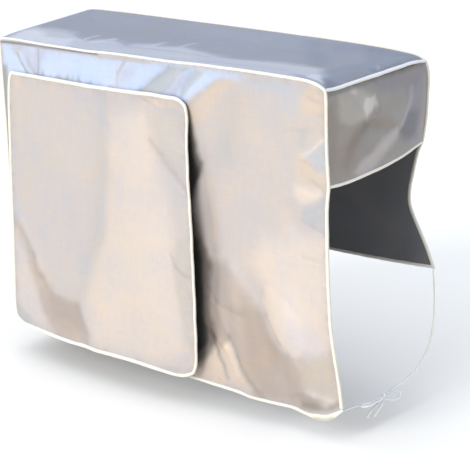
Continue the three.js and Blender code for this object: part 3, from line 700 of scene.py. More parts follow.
        Streak("pebble", 0.3, 6, [(72, -42), (65, -77), (54, -99)]),
        # Painted shadow lines along the tapes.
        Streak("graphite", 0.7, 5, [(-127, -13), (-92, -12), (-3, -9), (109, -7)]),
        Streak("ink", 0.85, 2, [(-127, -9), (-92, -8), (-67, -8), (-16, -7), (36, -6), (109, -5)]),
        Streak("ink", 0.55, 2.6, [(-132, -12), (-136, -83), (-136, -160)]),
    ],
    "left": [
        Streak("lilac", 0.25, 40, [(-90, -60), (-76, -220), (-96, -360), (-70, -500)]),
        Streak("pale", 0.22, 30, [(60, -100), (74, -220), (50, -300), (90, -400)]),
        Streak("umber", 0.3, 30, [(0, -520), (100, -500)]),
        Streak("walnut", 0.3, 9, [(100, -50), (60, -150), (84, -260)]),
        Streak("pebble", 0.35, 8, [(-30, -180), (10, -300), (-14, -420)]),
    ],
    "back": [
        Streak("pale", 0.25, 50, [(-330, -60), (-290, -170), (-200, -320)]),
        Streak("lilac", 0.25, 45, [(100, -40), (190, -120), (230, -230), (320, -300)]),
        Streak("umber", 0.3, 40, [(-60, -300), (100, -340)]),
        Streak("walnut", 0.3, 10, [(-380, -40), (-300, -120), (-270, -220)]),
        Streak("pebble", 0.35, 9, [(0, -30), (-40, -150), (-20, -260)]),
        Streak("walnut", 0.3, 9, [(390, -60), (320, -160), (340, -280)]),
    ],
}

# The colours of the painted reflections, highlights and shade, by name, with the pieces that they
# are on.
PALETTE = {
    "ice": ("Front and top", (0.54, 0.64, 0.83)),
    "lilac": ("Front and flap", (0.49, 0.507, 0.60)),
    "mist": ("Front and flap", (0.44, 0.46, 0.466)),
    "fog": ("Front and flap", (0.49, 0.507, 0.55)),
    "pearl": ("Front and sides", (0.60, 0.575, 0.55)),
    "cream": ("Front and flap", (0.70, 0.605, 0.515)),
    "oat": ("Flap", (0.515, 0.475, 0.435)),
    "peach": ("Front and flap", (0.615, 0.52, 0.42)),
    "blush": ("Front and flap", (0.632, 0.568, 0.54)),
    "sand": ("Front", (0.50, 0.45, 0.385)),
    "umber": ("Front and flap", (0.45, 0.385, 0.335)),
    "taupe": ("Front and flap", (0.41, 0.34, 0.285)),
    "olive": ("Front", (0.227, 0.198, 0.161)),
    "bark": ("Front", (0.228, 0.166, 0.121)),
    "ash": ("Front", (0.308, 0.308, 0.293)),
    "dusk": ("Front", (0.15, 0.125, 0.105)),
    "ink": ("Front and right side", (0.02, 0.018, 0.016)),
    "pale": ("Top and back", (0.45, 0.49, 0.585)),
    "lit": ("Top", (0.56, 0.61, 0.70)),
    "slate": ("Top", (0.25, 0.28, 0.352)),
    "steel": ("Top", (0.19, 0.229, 0.306)),
    "indigo": ("Top", (0.129, 0.154, 0.229)),
    "shell": ("Right side", (0.43, 0.408, 0.367)),
    "pebble": ("Right side", (0.475, 0.452, 0.447)),
    "walnut": ("Right side", (0.256, 0.21, 0.172)),
    "graphite": ("Right side and seams", (0.147, 0.147, 0.153)),
    "plum": ("Right side", (0.232, 0.225, 0.273)),
}

# The cloth pieces: facing is the way the outer side faces, axes are the ones that u and v run
# along, and wide and tall are the grid's steps along its edges.
Piece = namedtuple("Piece", "name replaces facing axes near far left right wide tall flat")
PIECES = {
    "top": Piece(
        "top_cloth", "top_panel", "up", (0, 1),
        ["front_top"], ["rear_top"], ["top_left"], ["top_right"], 240, 92, (0.8, 0.26),
    ),
    "front": Piece(
        "front_cloth", "front_panel", "front", (0, 2),
        ["front_top"], ["front_hem"], ["front_left"],
        ["front_right_upper", "front_right_lower"], 240, 176, (0.8, 0.56),
    ),
    "flap": Piece(
        "flap_cloth", "flap", "front", (0, 2),
        ["flap_top"], ["flap_hem"], ["flap_left"], ["flap_right"], 176, 188, (0.47, 0.49),
    ),
    "right": Piece(
        "right_side_cloth", "right_panel", "right", (1, 2),
        ["top_right"], ["right_hem"], ["front_right_upper"], ["rear_right_upper"],
        120, 84, (0.26, 0.165),
    ),
    "left": Piece(
        "left_side_cloth", "left_panel", "left", (1, 2),
        ["top_left"], ["left_hem"], ["front_left"], ["rear_left_upper", "rear_left_lower"],
        64, 120, (0.26, 0.55),
    ),
    "back": Piece(
        "back_cloth", "back_panel", "back", (0, 2),
        ["rear_top"], ["back_hem"], ["rear_left_upper"],
        ["rear_right_upper", "rear_right_lower"], 160, 80, (0.8, 0.375),
    ),
}
# The base colour of each piece, under its painted patches and streaks. The pieces are one cloth, so
# the differences between them are painted light: the front and flap lit, the top a darker, bluer
# painted reflection, and the sides and back in painted shade.
BASE_COLOUR = {
    "top": "slate", "front": "beige", "flap": "pearl",
    "right": "stone", "left": "stone", "back": "stone",
}

# The tapes: edges joined end to end, a minus sign for one taken backwards, and the cuts at the
# start and end, which are negative where the tape runs past. inner is the middle of its cloth, and
# wide is its width at shares of the way along, as a share of the usual width.
Tape = namedtuple("Tape", "name replaces edges facing inner start end wide")
SEAM_WIDE = ((0, 0.8), (1, 0.8))
HEM_WIDE = ((0, 1.0), (1, 1.0))
TAPES = [
    Tape("front_seam_tape", "binding_front",
         ["-front_left", "front_top", "front_right_upper", "front_right_lower"],
         "front", (0, FRONT, -200), 3, 4,
         ((0, 0.8), (0.29, 0.75), (0.5, 0.8), (0.7, 0.95), (0.79, 1.05), (0.86, 1.2), (1, 1.15))),
    Tape("rear_seam_tape", "binding_rear",
         ["-rear_left_lower", "-rear_left_upper", "rear_top", "rear_right_upper",
          "rear_right_lower"],
         "back", (0, REAR, -200), 3, 3, ((0, 0.9), (0.6, 0.8), (0.72, 1.1), (1, 1.05))),
    Tape("top_left_tape", "binding_top_left", ["top_left"], "up", (0, 0, 0), 2, 3, SEAM_WIDE),
    Tape("top_right_tape", "binding_top_right", ["top_right"], "up_right", (0, 0, 0), 2, 3,
         ((0, 1.05), (0.5, 1.15), (1, 1.0))),
    Tape("front_hem_tape", "binding_hem_front", ["front_hem"], "front",
         (0, FRONT, -200), -3, -3,
         ((0, 1), (0.905, 1), (0.925, 1.7), (0.94, 2.2), (0.96, 2.15), (0.975, 1.5), (0.988, 1.05),
          (1, 1.05))),
    Tape("left_hem_tape", "binding_hem_left", ["left_hem"], "left", (-HALF, 0, -200), 3, -3,
         HEM_WIDE),
    Tape("right_hem_tape", "binding_hem_right", ["right_hem"], "right", (HALF, 0, 0), 3, 3,
         ((0, 0.95), (1, 0.9))),
    Tape("back_hem_tape", "binding_hem_back", ["back_hem"], "back", (0, REAR, -100), 3, -3,
         HEM_WIDE),
    Tape("flap_tape", "binding_flap",
         ["flap_top", "flap_right", "-flap_hem", "-flap_left"], "front",
         (-120, FRONT, -300), 0, 0,
         ((0, 1.05), (0.05, 1.2), (0.2, 1.2), (0.26, 1), (0.5, 1), (0.56, 1.2), (0.73, 1.15),
          (0.8, 0.95), (1, 1.05))),
]

# The ties' routes. A row that starts with "knot" leaves the knot in that direction.
ROUTES = {
    "front_tie": [
        (HALF + 3, FRONT + TIE_INSET, -DROP - 1), (403, -112, -547), (403, -90, -550),
        (402, -66, -554), (401, -44, -557), ("knot", 0, -1, 0.05),
    ],
    "rear_tie": [
        (HALF + 4, REAR - 4, -BACK_DROP - TIE_INSET), (405, 126, -392), (406, 125, -425),
        (406, 122, -460), (405, 113, -495), (403, 96, -522), (402, 70, -540), (401, 40, -549),
        (400, 12, -552), ("knot", 0, 1, 0.4),
    ],
    "bow_loop": [
        ("knot", 0.2, 1, 0.25), (402.5, 1, -555.4), (404, 9, -555.1), (405.5, 16.5, -555.8),
        (406, 22.4, -558.3), (406, 24.9, -564.2), (405.5, 22.4, -570.1), (404.5, 16.5, -572.6),
        (403, 8, -571.8), (401.5, 0, -568.9), ("knot", 0.1, 0.6, -0.9),
    ],
    "flat_loop": [
        ("knot", 0.4, -1, 0.3), (404.5, -33, -555), (406, -50, -553), (406.2, -67, -551.3),
        (406.2, -80, -550.4), (408.6, -85.9, -550), (414.4, -88.4, -549), (420.2, -85.9, -548),
        (422.6, -80, -547.7), (421, -69, -548.8), (416.5, -55, -551.6), (411, -41, -555),
        (406, -30, -557.8), ("knot", 0.5, -1, -0.2),
    ],
    "long_tie_end": [
        ("knot", 0, -1, -0.65), (400, -27, -564), (401, -37, -567.5), (401, -47, -571.5),
        (402, -56, -575.5), (402, -62, -579.5),
    ],
    "short_tie_end": [
        ("knot", 0.3, -0.4, -1), (404, -24, -568.5), (405, -32, -573), (406, -41, -577.5),
        (406, -49, -582),
    ],
}
Tie = namedtuple("Tie", "name replaces far_end lay twist")
TIES = [
    Tie("front_tie", "tie_front", "object", "loose", 1.4),
    Tie("rear_tie", "tie_rear", "object", "loose", 3.4),
    Tie("bow_loop", "tie_loop", "object", "loose", 1.9),
    Tie("flat_loop", None, "object", "loose", 0.8),
    Tie("long_tie_end", "tie_end_long", "knot", "hanging", 1.2),
    Tie("short_tie_end", "tie_end_short", "bare", "hanging", 0.9),
]

# The photograph's viewpoint, fitted to the cover's corners.
CAMERA_AT = (2.2958, -2.3727, 0.6770)
CAMERA_YAW = 43.277
CAMERA_PITCH = 17.244
CAMERA_ROLL = -3.035
CAMERA_LENS = 147.14
CAMERA_SENSOR = 36.0

# The lights: the way to each, its angle in degrees and its colour, and the colour all round.
KEY_LIGHT = ((-0.15, -0.9, 0.4), 40, (1.0, 0.965, 0.92))
SKY_LIGHT = ((-0.1, 0.25, 1.0), 120, (0.86, 0.92, 1.0))
SURROUND = (0.94, 0.965, 1.0, 1.0)


def unit(vector):
    """The vector, or each row of vectors, at length 1."""
    vector = np.asarray(vector, float)
    return vector / np.linalg.norm(vector, axis=-1, keepdims=True)


def smooth(value, low, high):
    """A soft step from 0 at low to 1 at high."""
    share = np.clip((value - low) / (high - low), 0, 1)
    return share * share * (3 - 2 * share)


def share_along(row, u, v):
    """The share of the way along the row's line at which points u, v lie."""
    along_u, along_v = row.to_u - row.u, row.to_v - row.v
    return ((u - row.u) * along_u + (v - row.v) * along_v) / (along_u**2 + along_v**2)


def off_line(row, u, v):
    """How far points u, v lie from the row's line."""
    held = np.clip(share_along(row, u, v), 0, 1)
    return np.hypot(u - row.u - held * (row.to_u - row.u), v - row.v - held * (row.to_v - row.v))


def fold_relief(folds, u, v):
    """How far soft folds stand out at u, v. Each one rises slowly from its start."""
    total = 0 * u
    for fold in folds:
        rise = smooth(share_along(fold, u, v), *FOLD_RISE)
        total = total + fold.out * rise * np.exp(-((off_line(fold, u, v) / fold.width) ** 2))
    return total


def crease_relief(creases, u, v):
    """How far creases stand out at u, v: a rounded line with shoulders that fall away."""
    total = 0 * u
    for crease in creases:
        off = off_line(crease, u, v) / (CREASE_CORE * crease.width)
        total += crease.out * np.exp(1 - np.sqrt(1 + off**2))
    return total


def ripple(u, v, size, seed, waves=9):
    """Soft seeded unevenness between about -1 and 1, its bumps about size across."""
    rng = np.random.default_rng(seed)
    total = 0 * u
    for _ in range(waves):
        heading = rng.uniform(0, 2 * math.pi)
        pitch = size * rng.uniform(1.2, 2.6)
        phase = rng.uniform(0, 2 * math.pi)
        along = u * math.cos(heading) + v * math.sin(heading)
        total += np.sin(along * 2 * math.pi / pitch + phase)
    return total / math.sqrt(waves)


def ripples(u, v, rows, seed):
    """Unevenness in layers, from rows of size and height, each with the next seed."""
    return sum(height * ripple(u, v, size, seed + k) for k, (size, height) in enumerate(rows))


def front_face(x, z):
    """Where the front lies at x, z: flat at its top, bellied at its hem, with its main folds."""
    bulge = 1 - np.minimum(1, np.abs(x / HALF)) ** 3
    belly = HEM_BELLY * bulge * smooth(-z, BELLY_START, DROP)
    loose = smooth(-z, FLAT_BAND, FLAT_BAND + FOLD_BAND)
    loose = loose * smooth(HALF - x, *RIGHT_SLACK) * smooth(x + HALF, *LEFT_SLACK)
    return FRONT - belly - fold_relief(MAIN_FOLDS["front"], x, z) * loose


def flap_face(x, z):
    """Where the flap hangs at x, z: on the front along its top, and standing off it below."""
    down = np.clip((-z - FLAP_TOP) / (FLAP_HEM - FLAP_TOP), 0, 1)
    across = np.clip((x + FLAP_LEFT) / (FLAP_LEFT + FLAP_RIGHT), 0, 1)
    stand = FLAP_STAND_LEFT + (FLAP_STAND_RIGHT - FLAP_STAND_LEFT) * across
    stand = stand + FLAP_BELLY * np.sin(math.pi * across)
    folds = fold_relief(MAIN_FOLDS["flap"], x, z) * smooth(down, *FLAP_LOOSE)
    return FLAP_SEAT - stand * down**FLAP_CURVE - folds


FACES = {"front": front_face, "flap": flap_face}


def spline(points, steps=24):
    """A fine line through points, a centripetal Catmull-Rom curve."""
    points = np.asarray(points, float)
    ends = 2 * points[0] - points[1], 2 * points[-1] - points[-2]
    whole = np.vstack([ends[0], points, ends[1]])
    share = np.linspace(0, 1, steps, endpoint=False)[:, None]
    runs = []
    for p0, p1, p2, p3 in zip(whole, whole[1:], whole[2:], whole[3:]):
        d0, d1, d2 = (
            math.sqrt(np.linalg.norm(b - a)) for a, b in ((p0, p1), (p1, p2), (p2, p3))
        )
        leave = ((p1 - p0) / d0 - (p2 - p0) / (d0 + d1) + (p2 - p1) / d1) * d1
        reach = ((p2 - p1) / d1 - (p3 - p1) / (d1 + d2) + (p3 - p2) / d2) * d1
        bend = -3 * p1 + 3 * p2 - 2 * leave - reach
        turn = 2 * (p1 - p2) + leave + reach
        runs.append(p1 + share * leave + share**2 * bend + share**3 * turn)
    return np.vstack([*runs, points[-1:]])


def lengths(line):
    """How far along a line each of its points lies."""
    steps = np.linalg.norm(np.diff(line, axis=0), axis=1)
    return np.concatenate([[0], np.cumsum(steps)])


def resampled(line, count, start=0.0, end=0.0):
    """The line as count evenly spaced points, after cuts off its start and end."""
    along = lengths(line)
    at = np.linspace(start, along[-1] - end, count)
    inside = np.clip(at, 0, along[-1])
    points = np.stack([np.interp(inside, along, line[:, k]) for k in range(3)], axis=1)
    before = unit(line[1] - line[0]) * np.minimum(at, 0)[:, None]
    after = unit(line[-1] - line[-2]) * np.maximum(at - along[-1], 0)[:, None]
    return points + before + after


def edge_line(name):
    """The fine middle line of an edge, taken backwards if its name starts with a minus sign."""
    edge = EDGES[name.lstrip("-")]
    start = np.array(CORNER[edge.start], float)
    end = np.array(CORNER[edge.end], float)
    rows = [Bow(0, 0, 0, 0), *edge.bows, Bow(1, 0, 0, 0)]
    line = spline([start + (end - start) * b.at + np.array([b.x, b.y, b.z]) for b in rows])
    if edge.face:
        line = resampled(line, EDGE_POINTS)
        line[:, 1] = FACES[edge.face](line[:, 0], line[:, 2])
    return line[::-1] if name.startswith("-") else line


def joined_edges(names):
    """Edges joined end to end into one line."""
    lines = [edge_line(name) for name in names]
    return np.vstack([lines[0], *(line[1:] for line in lines[1:])])


def inset(outline, normal, distance):
    """A closed outline moved inwards in the plane that normal faces, with mitred turns."""
    step = np.roll(outline, -1, axis=0) - outline
    step = unit(step - (step @ normal)[:, None] * normal)
    before = np.roll(step, 1, axis=0)
    turn = np.sum(np.cross(before, step) @ normal)
    inward = normal * math.copysign(1, turn)
    from_before = np.cross(inward, before)
    from_after = np.cross(inward, step)
    share = distance / (1 + np.sum(from_before * from_after, axis=1, keepdims=True))
    return outline + (from_before + from_after) * share


def filled(near, far, left, right, normal):
    """A grid of points that fills four edges, with each point's shares along and up the piece."""
    wide, tall = len(near), len(left)
    outline = np.vstack([near[:-1], right[:-1], far[::-1][:-1], left[::-1][:-1]])
    outline = inset(outline, normal, TUCK)
    near = outline[:wide]
    right = outline[wide - 1 : wide + tall - 1]
    far = outline[wide + tall - 2 : 2 * wide + tall - 2][::-1]
    left = np.vstack([outline[2 * wide + tall - 3 :], outline[:1]])[::-1]
    s0, s1, t0, t1 = (lengths(line) / lengths(line)[-1] for line in (near, far, left, right))
    t0, t1 = t0[:, None], t1[:, None]
    s = (s0 + t0 * (s1 - s0)) / (1 - (s1 - s0) * (t1 - t0))
    t = t0 + s * (t1 - t0)
    ss, tt = s[..., None], t[..., None]
    grid = near[None] * (1 - tt) + far[None] * tt + left[:, None] * (1 - ss) + right[:, None] * ss
    grid = grid - near[0] * (1 - ss) * (1 - tt) - near[-1] * ss * (1 - tt)
    grid = grid - far[0] * (1 - ss) * tt - far[-1] * ss * tt
    return grid, s, t


def shaped(key, grid, s, t):
    """The grid with the piece's main form. The folds of the sides and back fade at the edges."""
    x, y, z = grid[..., 0], grid[..., 1], grid[..., 2]
    slack = smooth(np.minimum(s, 1 - s), 0, 0.2) * smooth(np.minimum(t, 1 - t), 0, 0.2)
    if key in FACES:
        grid[..., 1] = FACES[key](x, z)
    elif key == "top":
        rim = np.minimum(np.minimum(s, 1 - s) * WIDTH, np.minimum(t, 1 - t) * DEPTH)
        grid[..., 2] = TOP + (z - TOP) * (1 - smooth(rim, 1, TOP_RIM))
    elif key == "back":
        grid[..., 1] += fold_relief(MAIN_FOLDS[key], x, z) * slack
    else:
        way = FACING[key][0]
        grid[..., 0] += way * fold_relief(MAIN_FOLDS[key], y, z) * slack
    return grid


def seam_distance(piece, s, t):
    """How far each point of a piece lies from its nearest edge."""
    wide, tall = (size / MM for size in piece.flat)
    return np.minimum(np.minimum(s, 1 - s) * wide, np.minimum(t, 1 - t) * tall)


def crease_height(key, u, v):
    """How far a piece's creases stand out at u, v, along slightly uneven lines."""
    seed = 11 * sorted(PIECES).index(key)
    bend_u = u + ripples(u, v, CREASE_WAVER_U, seed + 1)
    bend_v = v + ripples(u, v, CREASE_WAVER_V, seed + 2)
    return crease_relief(CREASES[key], bend_u, bend_v)


def fine_relief(key, piece, grid, s, t, cloth):
    """The small unevenness of a piece: creases, soft waves, crumple and seam puckers."""
    u, v = (grid[..., axis] for axis in piece.axes)
    seed = 11 * sorted(PIECES).index(key)
    seam = seam_distance(piece, s, t)
    waves = ripples(u, v, WAVES, seed + 3)
    crumple = 0 * u
    for number, (size, level, depth) in enumerate(CRUMPLE):
        crumple += level - np.abs(ripple(u, v, size, seed + 5 + number)) * depth
    height = crease_height(key, u, v) * cloth.crease_depth
    height = height + (waves + crumple) / MM * cloth.ripple_height
    near_seam = smooth(seam, 0.5, 5) * np.exp(-seam / PUCKER_REACH)
    puckers = ripple(u + v, u - v, 11, seed + 7) + 0.6 * ripple(u, v, 7, seed + 8)
    return height * smooth(seam, 0, WAVE_CALM) + puckers * near_seam * cloth.pucker_height / MM


def path_distance(points, u, v, closed=False):
    """How far points u, v lie from a path, or from its ring if it is closed."""
    ends = points[1:] + points[:1] if closed else points[1:]
    return np.min([off_line(Fold(*a, *b, 0, 0), u, v) for a, b in zip(points, ends)], axis=0)


def enclosed(points, u, v):
    """Which of the points u, v lie inside a ring of points."""
    inside = np.zeros(u.shape, bool)
    for (u0, v0), (u1, v1) in zip(points, points[1:] + points[:1]):
        if v0 != v1:
            crossing = u0 + (v - v0) * (u1 - u0) / (v1 - v0)
            inside ^= ((v0 > v) != (v1 > v)) & (u < crossing)
    return inside


def painted_mark_weight(painted_mark, u, v):
    """How strongly a patch or streak shows at points u, v."""
    if isinstance(painted_mark, Streak):
        return painted_mark.share * np.exp(-((path_distance(painted_mark.points, u, v) / painted_mark.width) ** 3))
    off = path_distance(painted_mark.points, u, v, True) * np.where(enclosed(painted_mark.points, u, v), 1, -1)
    return painted_mark.share * smooth(off, -painted_mark.soft, painted_mark.soft)


def with_painted_light(key, piece, grid, seam, cloth, painted_palette):
    """The colour at each point of a piece: its base colour with painted reflections, highlights and
    shade.
    """
    u, v = (grid[..., axis] for axis in piece.axes)
    seed = 7 * sorted(PIECES).index(key)
    free = SEAM_CALM + (1 - SEAM_CALM) * smooth(seam, 4, CALM_REACH)
    bend_u = u + free * ripples(u, v, PAINTED_WAVER_U, seed + 1)
    bend_v = v + free * ripples(u, v, PAINTED_WAVER_V, seed + 3)
    colour = np.ones(u.shape + (3,)) * np.array(getattr(cloth, BASE_COLOUR[key]))
    for painted_mark in PAINTED_LIGHT_MARKS[key]:
        weight = painted_mark_weight(painted_mark, bend_u, bend_v)[..., None]
        colour = colour + weight * (np.array(getattr(painted_palette, painted_mark.colour)) - colour)
    # Painted shade in the creases and painted highlight on the ridges.
    depth = np.clip(crease_height(key, u, v), -DEEPEST_SHADE, DEEPEST_SHADE)
    return colour * (1 + cloth.crease_shade * depth)[..., None]


def grid_normals(grid):
    """The direction that the surface faces at each point of a grid."""
    return unit(np.cross(np.gradient(grid, axis=1), np.gradient(grid, axis=0)))


def new_mesh(name, points, faces, materials, face_material=None):
    """A mesh object from points in millimetres and faces of one or more sizes."""
    mesh = bpy.data.meshes.new(name)
    mesh.from_pydata((np.asarray(points) * MM).tolist(), [], [list(map(int, f)) for f in faces])
    for material in materials:
        mesh.materials.append(material)
    if face_material is not None:
        mesh.polygons.foreach_set("material_index", np.asarray(face_material, np.int32))
    mesh.polygons.foreach_set("use_smooth", np.ones(len(mesh.polygons), bool))
    mesh.update()
    piece = bpy.data.objects.new(name, mesh)
    bpy.context.collection.objects.link(piece)
    return piece


def point_values(piece, name, values):
    """Stores one number for each of the piece's points."""
    attribute = piece.data.attributes.new(name, "FLOAT", "POINT")
    attribute.data.foreach_set("value", np.asarray(values, np.float32).ravel())


def point_colours(piece, name, colours):
    """Stores one colour for each of the piece's points."""
    attribute = piece.data.color_attributes.new(name, "FLOAT_COLOR", "POINT")
    filled_in = np.ones((len(colours), 4), np.float32)
    filled_in[:, :3] = colours
    attribute.data.foreach_set("color", filled_in.ravel())


def point_uv(piece, name, uv):
    """Stores a place on the flat cloth, in metres, for each of the piece's points."""
    corner_of = np.zeros(len(piece.data.loops), np.int32)
    piece.data.loops.foreach_get("vertex_index", corner_of)
    layer = piece.data.uv_layers.new(name=name)
    layer.data.foreach_set("uv", np.asarray(uv, np.float32)[corner_of].ravel())


def quads(rows, columns, closed_columns=False, closed_rows=False):
    """The faces of a grid of points, with its rows or columns closed into rings if wanted."""
    j = np.arange(rows if closed_rows else rows - 1)[:, None]
    i = np.arange(columns if closed_columns else columns - 1)[None, :]
    after_i = (i + 1) % columns
    after_j = (j + 1) % rows
    corners = [j * columns + i, j * columns + after_i, after_j * columns + after_i,
               after_j * columns + i]
    return np.stack([c + 0 * (i + j) for c in corners], axis=-1).reshape(-1, 4)


def tube(line, along, side, rise, wide, tall, width, closed=False):
    """The rings of points round a line, their faces and their places on the flat cloth."""
    rows, sides = wide.shape
    rings = line[:, None] + side[:, None] * wide[..., None] + rise[:, None] * tall[..., None]
    faces = [list(f) for f in quads(rows, sides, True, closed)]
    if not closed:
        faces.append(list(range(sides)))
        faces.append(list(range((rows - 1) * sides, rows * sides))[::-1])
    turns = np.tile(np.arange(sides) / sides, rows)
    flat = np.stack([np.repeat(along, sides) * MM, turns * 2 * width], axis=1)
    return rings.reshape(-1, 3), faces, flat


def sew_cloth(key, materials, cloth, painted_palette):
    """Builds one piece of cloth as a thin closed sheet with an outer and an inner side."""
    piece = PIECES[key]
    edges = []
    for names, steps in ((piece.near, piece.wide), (piece.far, piece.wide),
                         (piece.left, piece.tall), (piece.right, piece.tall)):
        edges.append(resampled(joined_edges(names), steps + 1))
    facing = FACING[piece.facing]
    grid, s, t = filled(*edges, facing)
    grid = shaped(key, grid, s, t)
    relief = fine_relief(key, piece, grid, s, t, cloth)
    grid = grid + relief[..., None] * facing
    normals = grid_normals(grid)
    normals = normals * np.sign(normals @ facing)[..., None]
    half = cloth.thickness / MM / 2
    rows, columns = s.shape
    layer = rows * columns
    points = np.vstack([(grid + normals * half).reshape(-1, 3),
                        (grid - normals * half).reshape(-1, 3)])
    outer = quads(rows, columns)
    turned = np.cross(grid[0, 1] - grid[0, 0], grid[1, 0] - grid[0, 0]) @ facing < 0
    outer = outer[:, ::-1] if turned else outer
    inner = outer[:, ::-1] + layer
    rim = np.concatenate([
        np.arange(columns), np.arange(1, rows) * columns + columns - 1,
        (rows - 1) * columns + np.arange(columns - 2, -1, -1),
        np.arange(rows - 2, 0, -1) * columns,
    ])
    after = np.roll(rim, -1)
    edge = np.stack([after, rim, rim + layer, after + layer], axis=1)
    edge = edge[:, ::-1] if turned else edge
    faces = np.vstack([outer, inner, edge])
    index = np.repeat([0, 1, 1], [len(outer), len(inner), len(edge)])
    built = new_mesh(piece.name, points, faces, materials, index)
    flat = np.stack([s * piece.flat[0], (1 - t) * piece.flat[1]], axis=-1).reshape(-1, 2)
    point_uv(built, "cloth_metres", np.vstack([flat, flat]))
    seam = seam_distance(piece, s, t)
    # Painted reflections, highlights and shade, kept as colours of the points.
    colours = with_painted_light(key, piece, grid, seam, cloth, painted_palette).reshape(-1, 3)
    point_colours(built, "cloth_tint", np.vstack([colours, colours]))
    seam = np.exp(-seam / SEAM_DARK_REACH).ravel()
    point_values(built, "seam", np.concatenate([seam, seam]))
    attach(built, "root")
    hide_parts(piece.replaces)
    return built


def frames_along(line, facing, closed=False):
    """The heading, the sideways direction and the standing direction at each point of a line."""
    if closed:
        heading = unit(np.roll(line, -1, axis=0) - np.roll(line, 1, axis=0))
    else:
        heading = unit(np.gradient(line, axis=0))
    side = unit(np.cross(heading, facing))
    return heading, side, unit(np.cross(side, heading))


def softened(line, passes, closed=False):
    """The line with its sharp turns rounded. Its ends stay where they are."""
    for _ in range(passes):
        before, after = np.roll(line, 1, axis=0), np.roll(line, -1, axis=0)
        middle = (before + 2 * line + after) / 4
        if not closed:
            middle[0], middle[-1] = line[0], line[-1]
        line = middle
    return line


def tape_section(tape, inner):
    """The outline of folded tape across its width: thin at the stitched edge, full at the fold."""
    angles = np.arange(TAPE_SIDES) * 2 * math.pi / TAPE_SIDES
    x = np.cos(angles)
    y = np.sign(np.sin(angles)) * np.abs(np.sin(angles)) ** TAPE_SQUARENESS
    groove = 1 - GROOVE_DEPTH * np.exp(-(((x * inner - STITCH_LINE) / GROOVE_WIDTH) ** 2))
    y = y * groove * (1 - TAPE_WEDGE * x * inner)
    return np.stack([x * tape.width / MM / 2, y * tape.thickness / MM / 2], axis=1)


def tape_drift(row, along, closed):
    """How far a tape wanders off its line and how much it swells, at each point along it."""
    seed = sum(map(ord, row.name))
    wander = ripples(along, 0 * along, TAPE_WANDER, seed)
    swell = 1 + ripples(along, 0 * along, TAPE_SWELL, seed + 2)
    if closed:
        ends = smooth(np.minimum(along, along[-1] - along), 0, JOIN_CALM)
        wander = wander * ends
        swell = 1 + (swell - 1) * ends
    return wander, swell


def bind_edge(row, materials, tape):
    """Builds one tape along its edges, with a line of stitches on each face."""
    closed = row.name == "flap_tape"
    line = joined_edges(row.edges)
    count = int((lengths(line)[-1] - row.start - row.end) / TAPE_STEP)
    line = resampled(line, count + 1, row.start, row.end)
    if closed:
        line = line[:-1]
    line = softened(line, 3, closed)
    heading, side, rise = frames_along(line, FACING[row.facing], closed)
    inner = math.copysign(1, np.sum(side * (np.array(row.inner) - line)))
    section = tape_section(tape, inner)
    along = lengths(line)
    wander, swell = tape_drift(row, along, closed)
    wide = np.interp(along / along[-1], *zip(*row.wide))
    deep = swell * np.minimum(wide, THICKEST)
    swell = swell * wide
    middle = line + side * wander[:, None] + rise * wander[:, None] * 0.5
    points, faces, flat = tube(
        middle, along, side, rise, section[:, 0] * swell[:, None], section[:, 1] * deep[:, None],
        tape.width, closed,
    )
    stitches, stitch_faces = stitch_row(
        middle, heading, side * inner, rise, along, wide, tape, len(points)
    )
    index = [0] * len(faces) + [1] * len(stitch_faces)
    points = np.vstack([points, stitches])
    built = new_mesh(row.name, points, faces + stitch_faces, materials, index)
    fix_facing(built)
    unset = np.zeros(len(stitches))
    across = np.tile(section[:, 0] / (tape.width / MM / 2) * inner, len(line))
    point_values(built, "across", np.concatenate([across, unset]))
    # The painted shade where a wide stretch of tape is turned under.
    under = np.repeat(smooth(wide, *UNDER_SHADE_FROM), TAPE_SIDES) * smooth(-across, -0.2, 0.1)
    point_values(built, "turned_under", np.concatenate([under, unset]))
    point_uv(built, "cloth_metres", np.vstack([flat, np.zeros((len(stitches), 2))]))
    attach(built, "root")
    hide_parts(row.replaces)
    return built


def fix_facing(piece):
    """Turns all faces of a closed mesh to face out."""
    shape = bmesh.new()
    shape.from_mesh(piece.data)
    bmesh.ops.recalc_face_normals(shape, faces=shape.faces)
    shape.to_mesh(piece.data)
    shape.free()


def stitch_row(line, heading, inward, rise, along, wide, tape, first):
    """Small lozenges of thread, in a row on each face of a tape, numbered from first."""
    pitch = tape.stitch_pitch / MM
    centres = np.arange(pitch, along[-1] - pitch, pitch)
    half_length = STITCH_HALF * pitch
    radius = STITCH_RADIUS * pitch
    depth = tape.thickness / MM / 2 * STITCH_DEPTH
    points, faces = [], []
    for face in (1, -1):
        for centre in centres:
            at = min(int(np.searchsorted(along, centre)), len(line) - 1)
            place = line[at] + inward[at] * STITCH_LINE * wide[at] * tape.width / MM / 2
            place = place + rise[at] * face * depth * min(wide[at], THICKEST)
            start = first + len(points)
            for a, b, c in STITCH_POINTS:
                points.append(
                    place + heading[at] * a * half_length + inward[at] * b * radius
                    + rise[at] * c * radius * face
                )
            faces += [[start + k for k in f] for f in STITCH_FACES]
    return np.array(points), faces


def route(name):
    """A tie's fine middle line from its route's rows."""
    points = []
    for row in ROUTES[name]:
        if row[0] == "knot":
            points.append(KNOT_AT + unit(row[1:]) * KNOT_REACH)
        else:
            points.append(np.array(row, float))
    line = spline(points, 20)
    return resampled(line, max(24, int(lengths(line)[-1] / TIE_STEP)))


def carried_frames(line):
    """A sideways direction for each point of a line, carried along without any turn."""
    heading = unit(np.gradient(line, axis=0))
    side = [unit(np.cross(heading[0], [0.3, 0.2, 1.0]))]
    for direction in heading[1:]:
        last = side[-1] - (side[-1] @ direction) * direction
        side.append(unit(last))
    side = np.array(side)
    return heading, side, np.cross(side, heading)


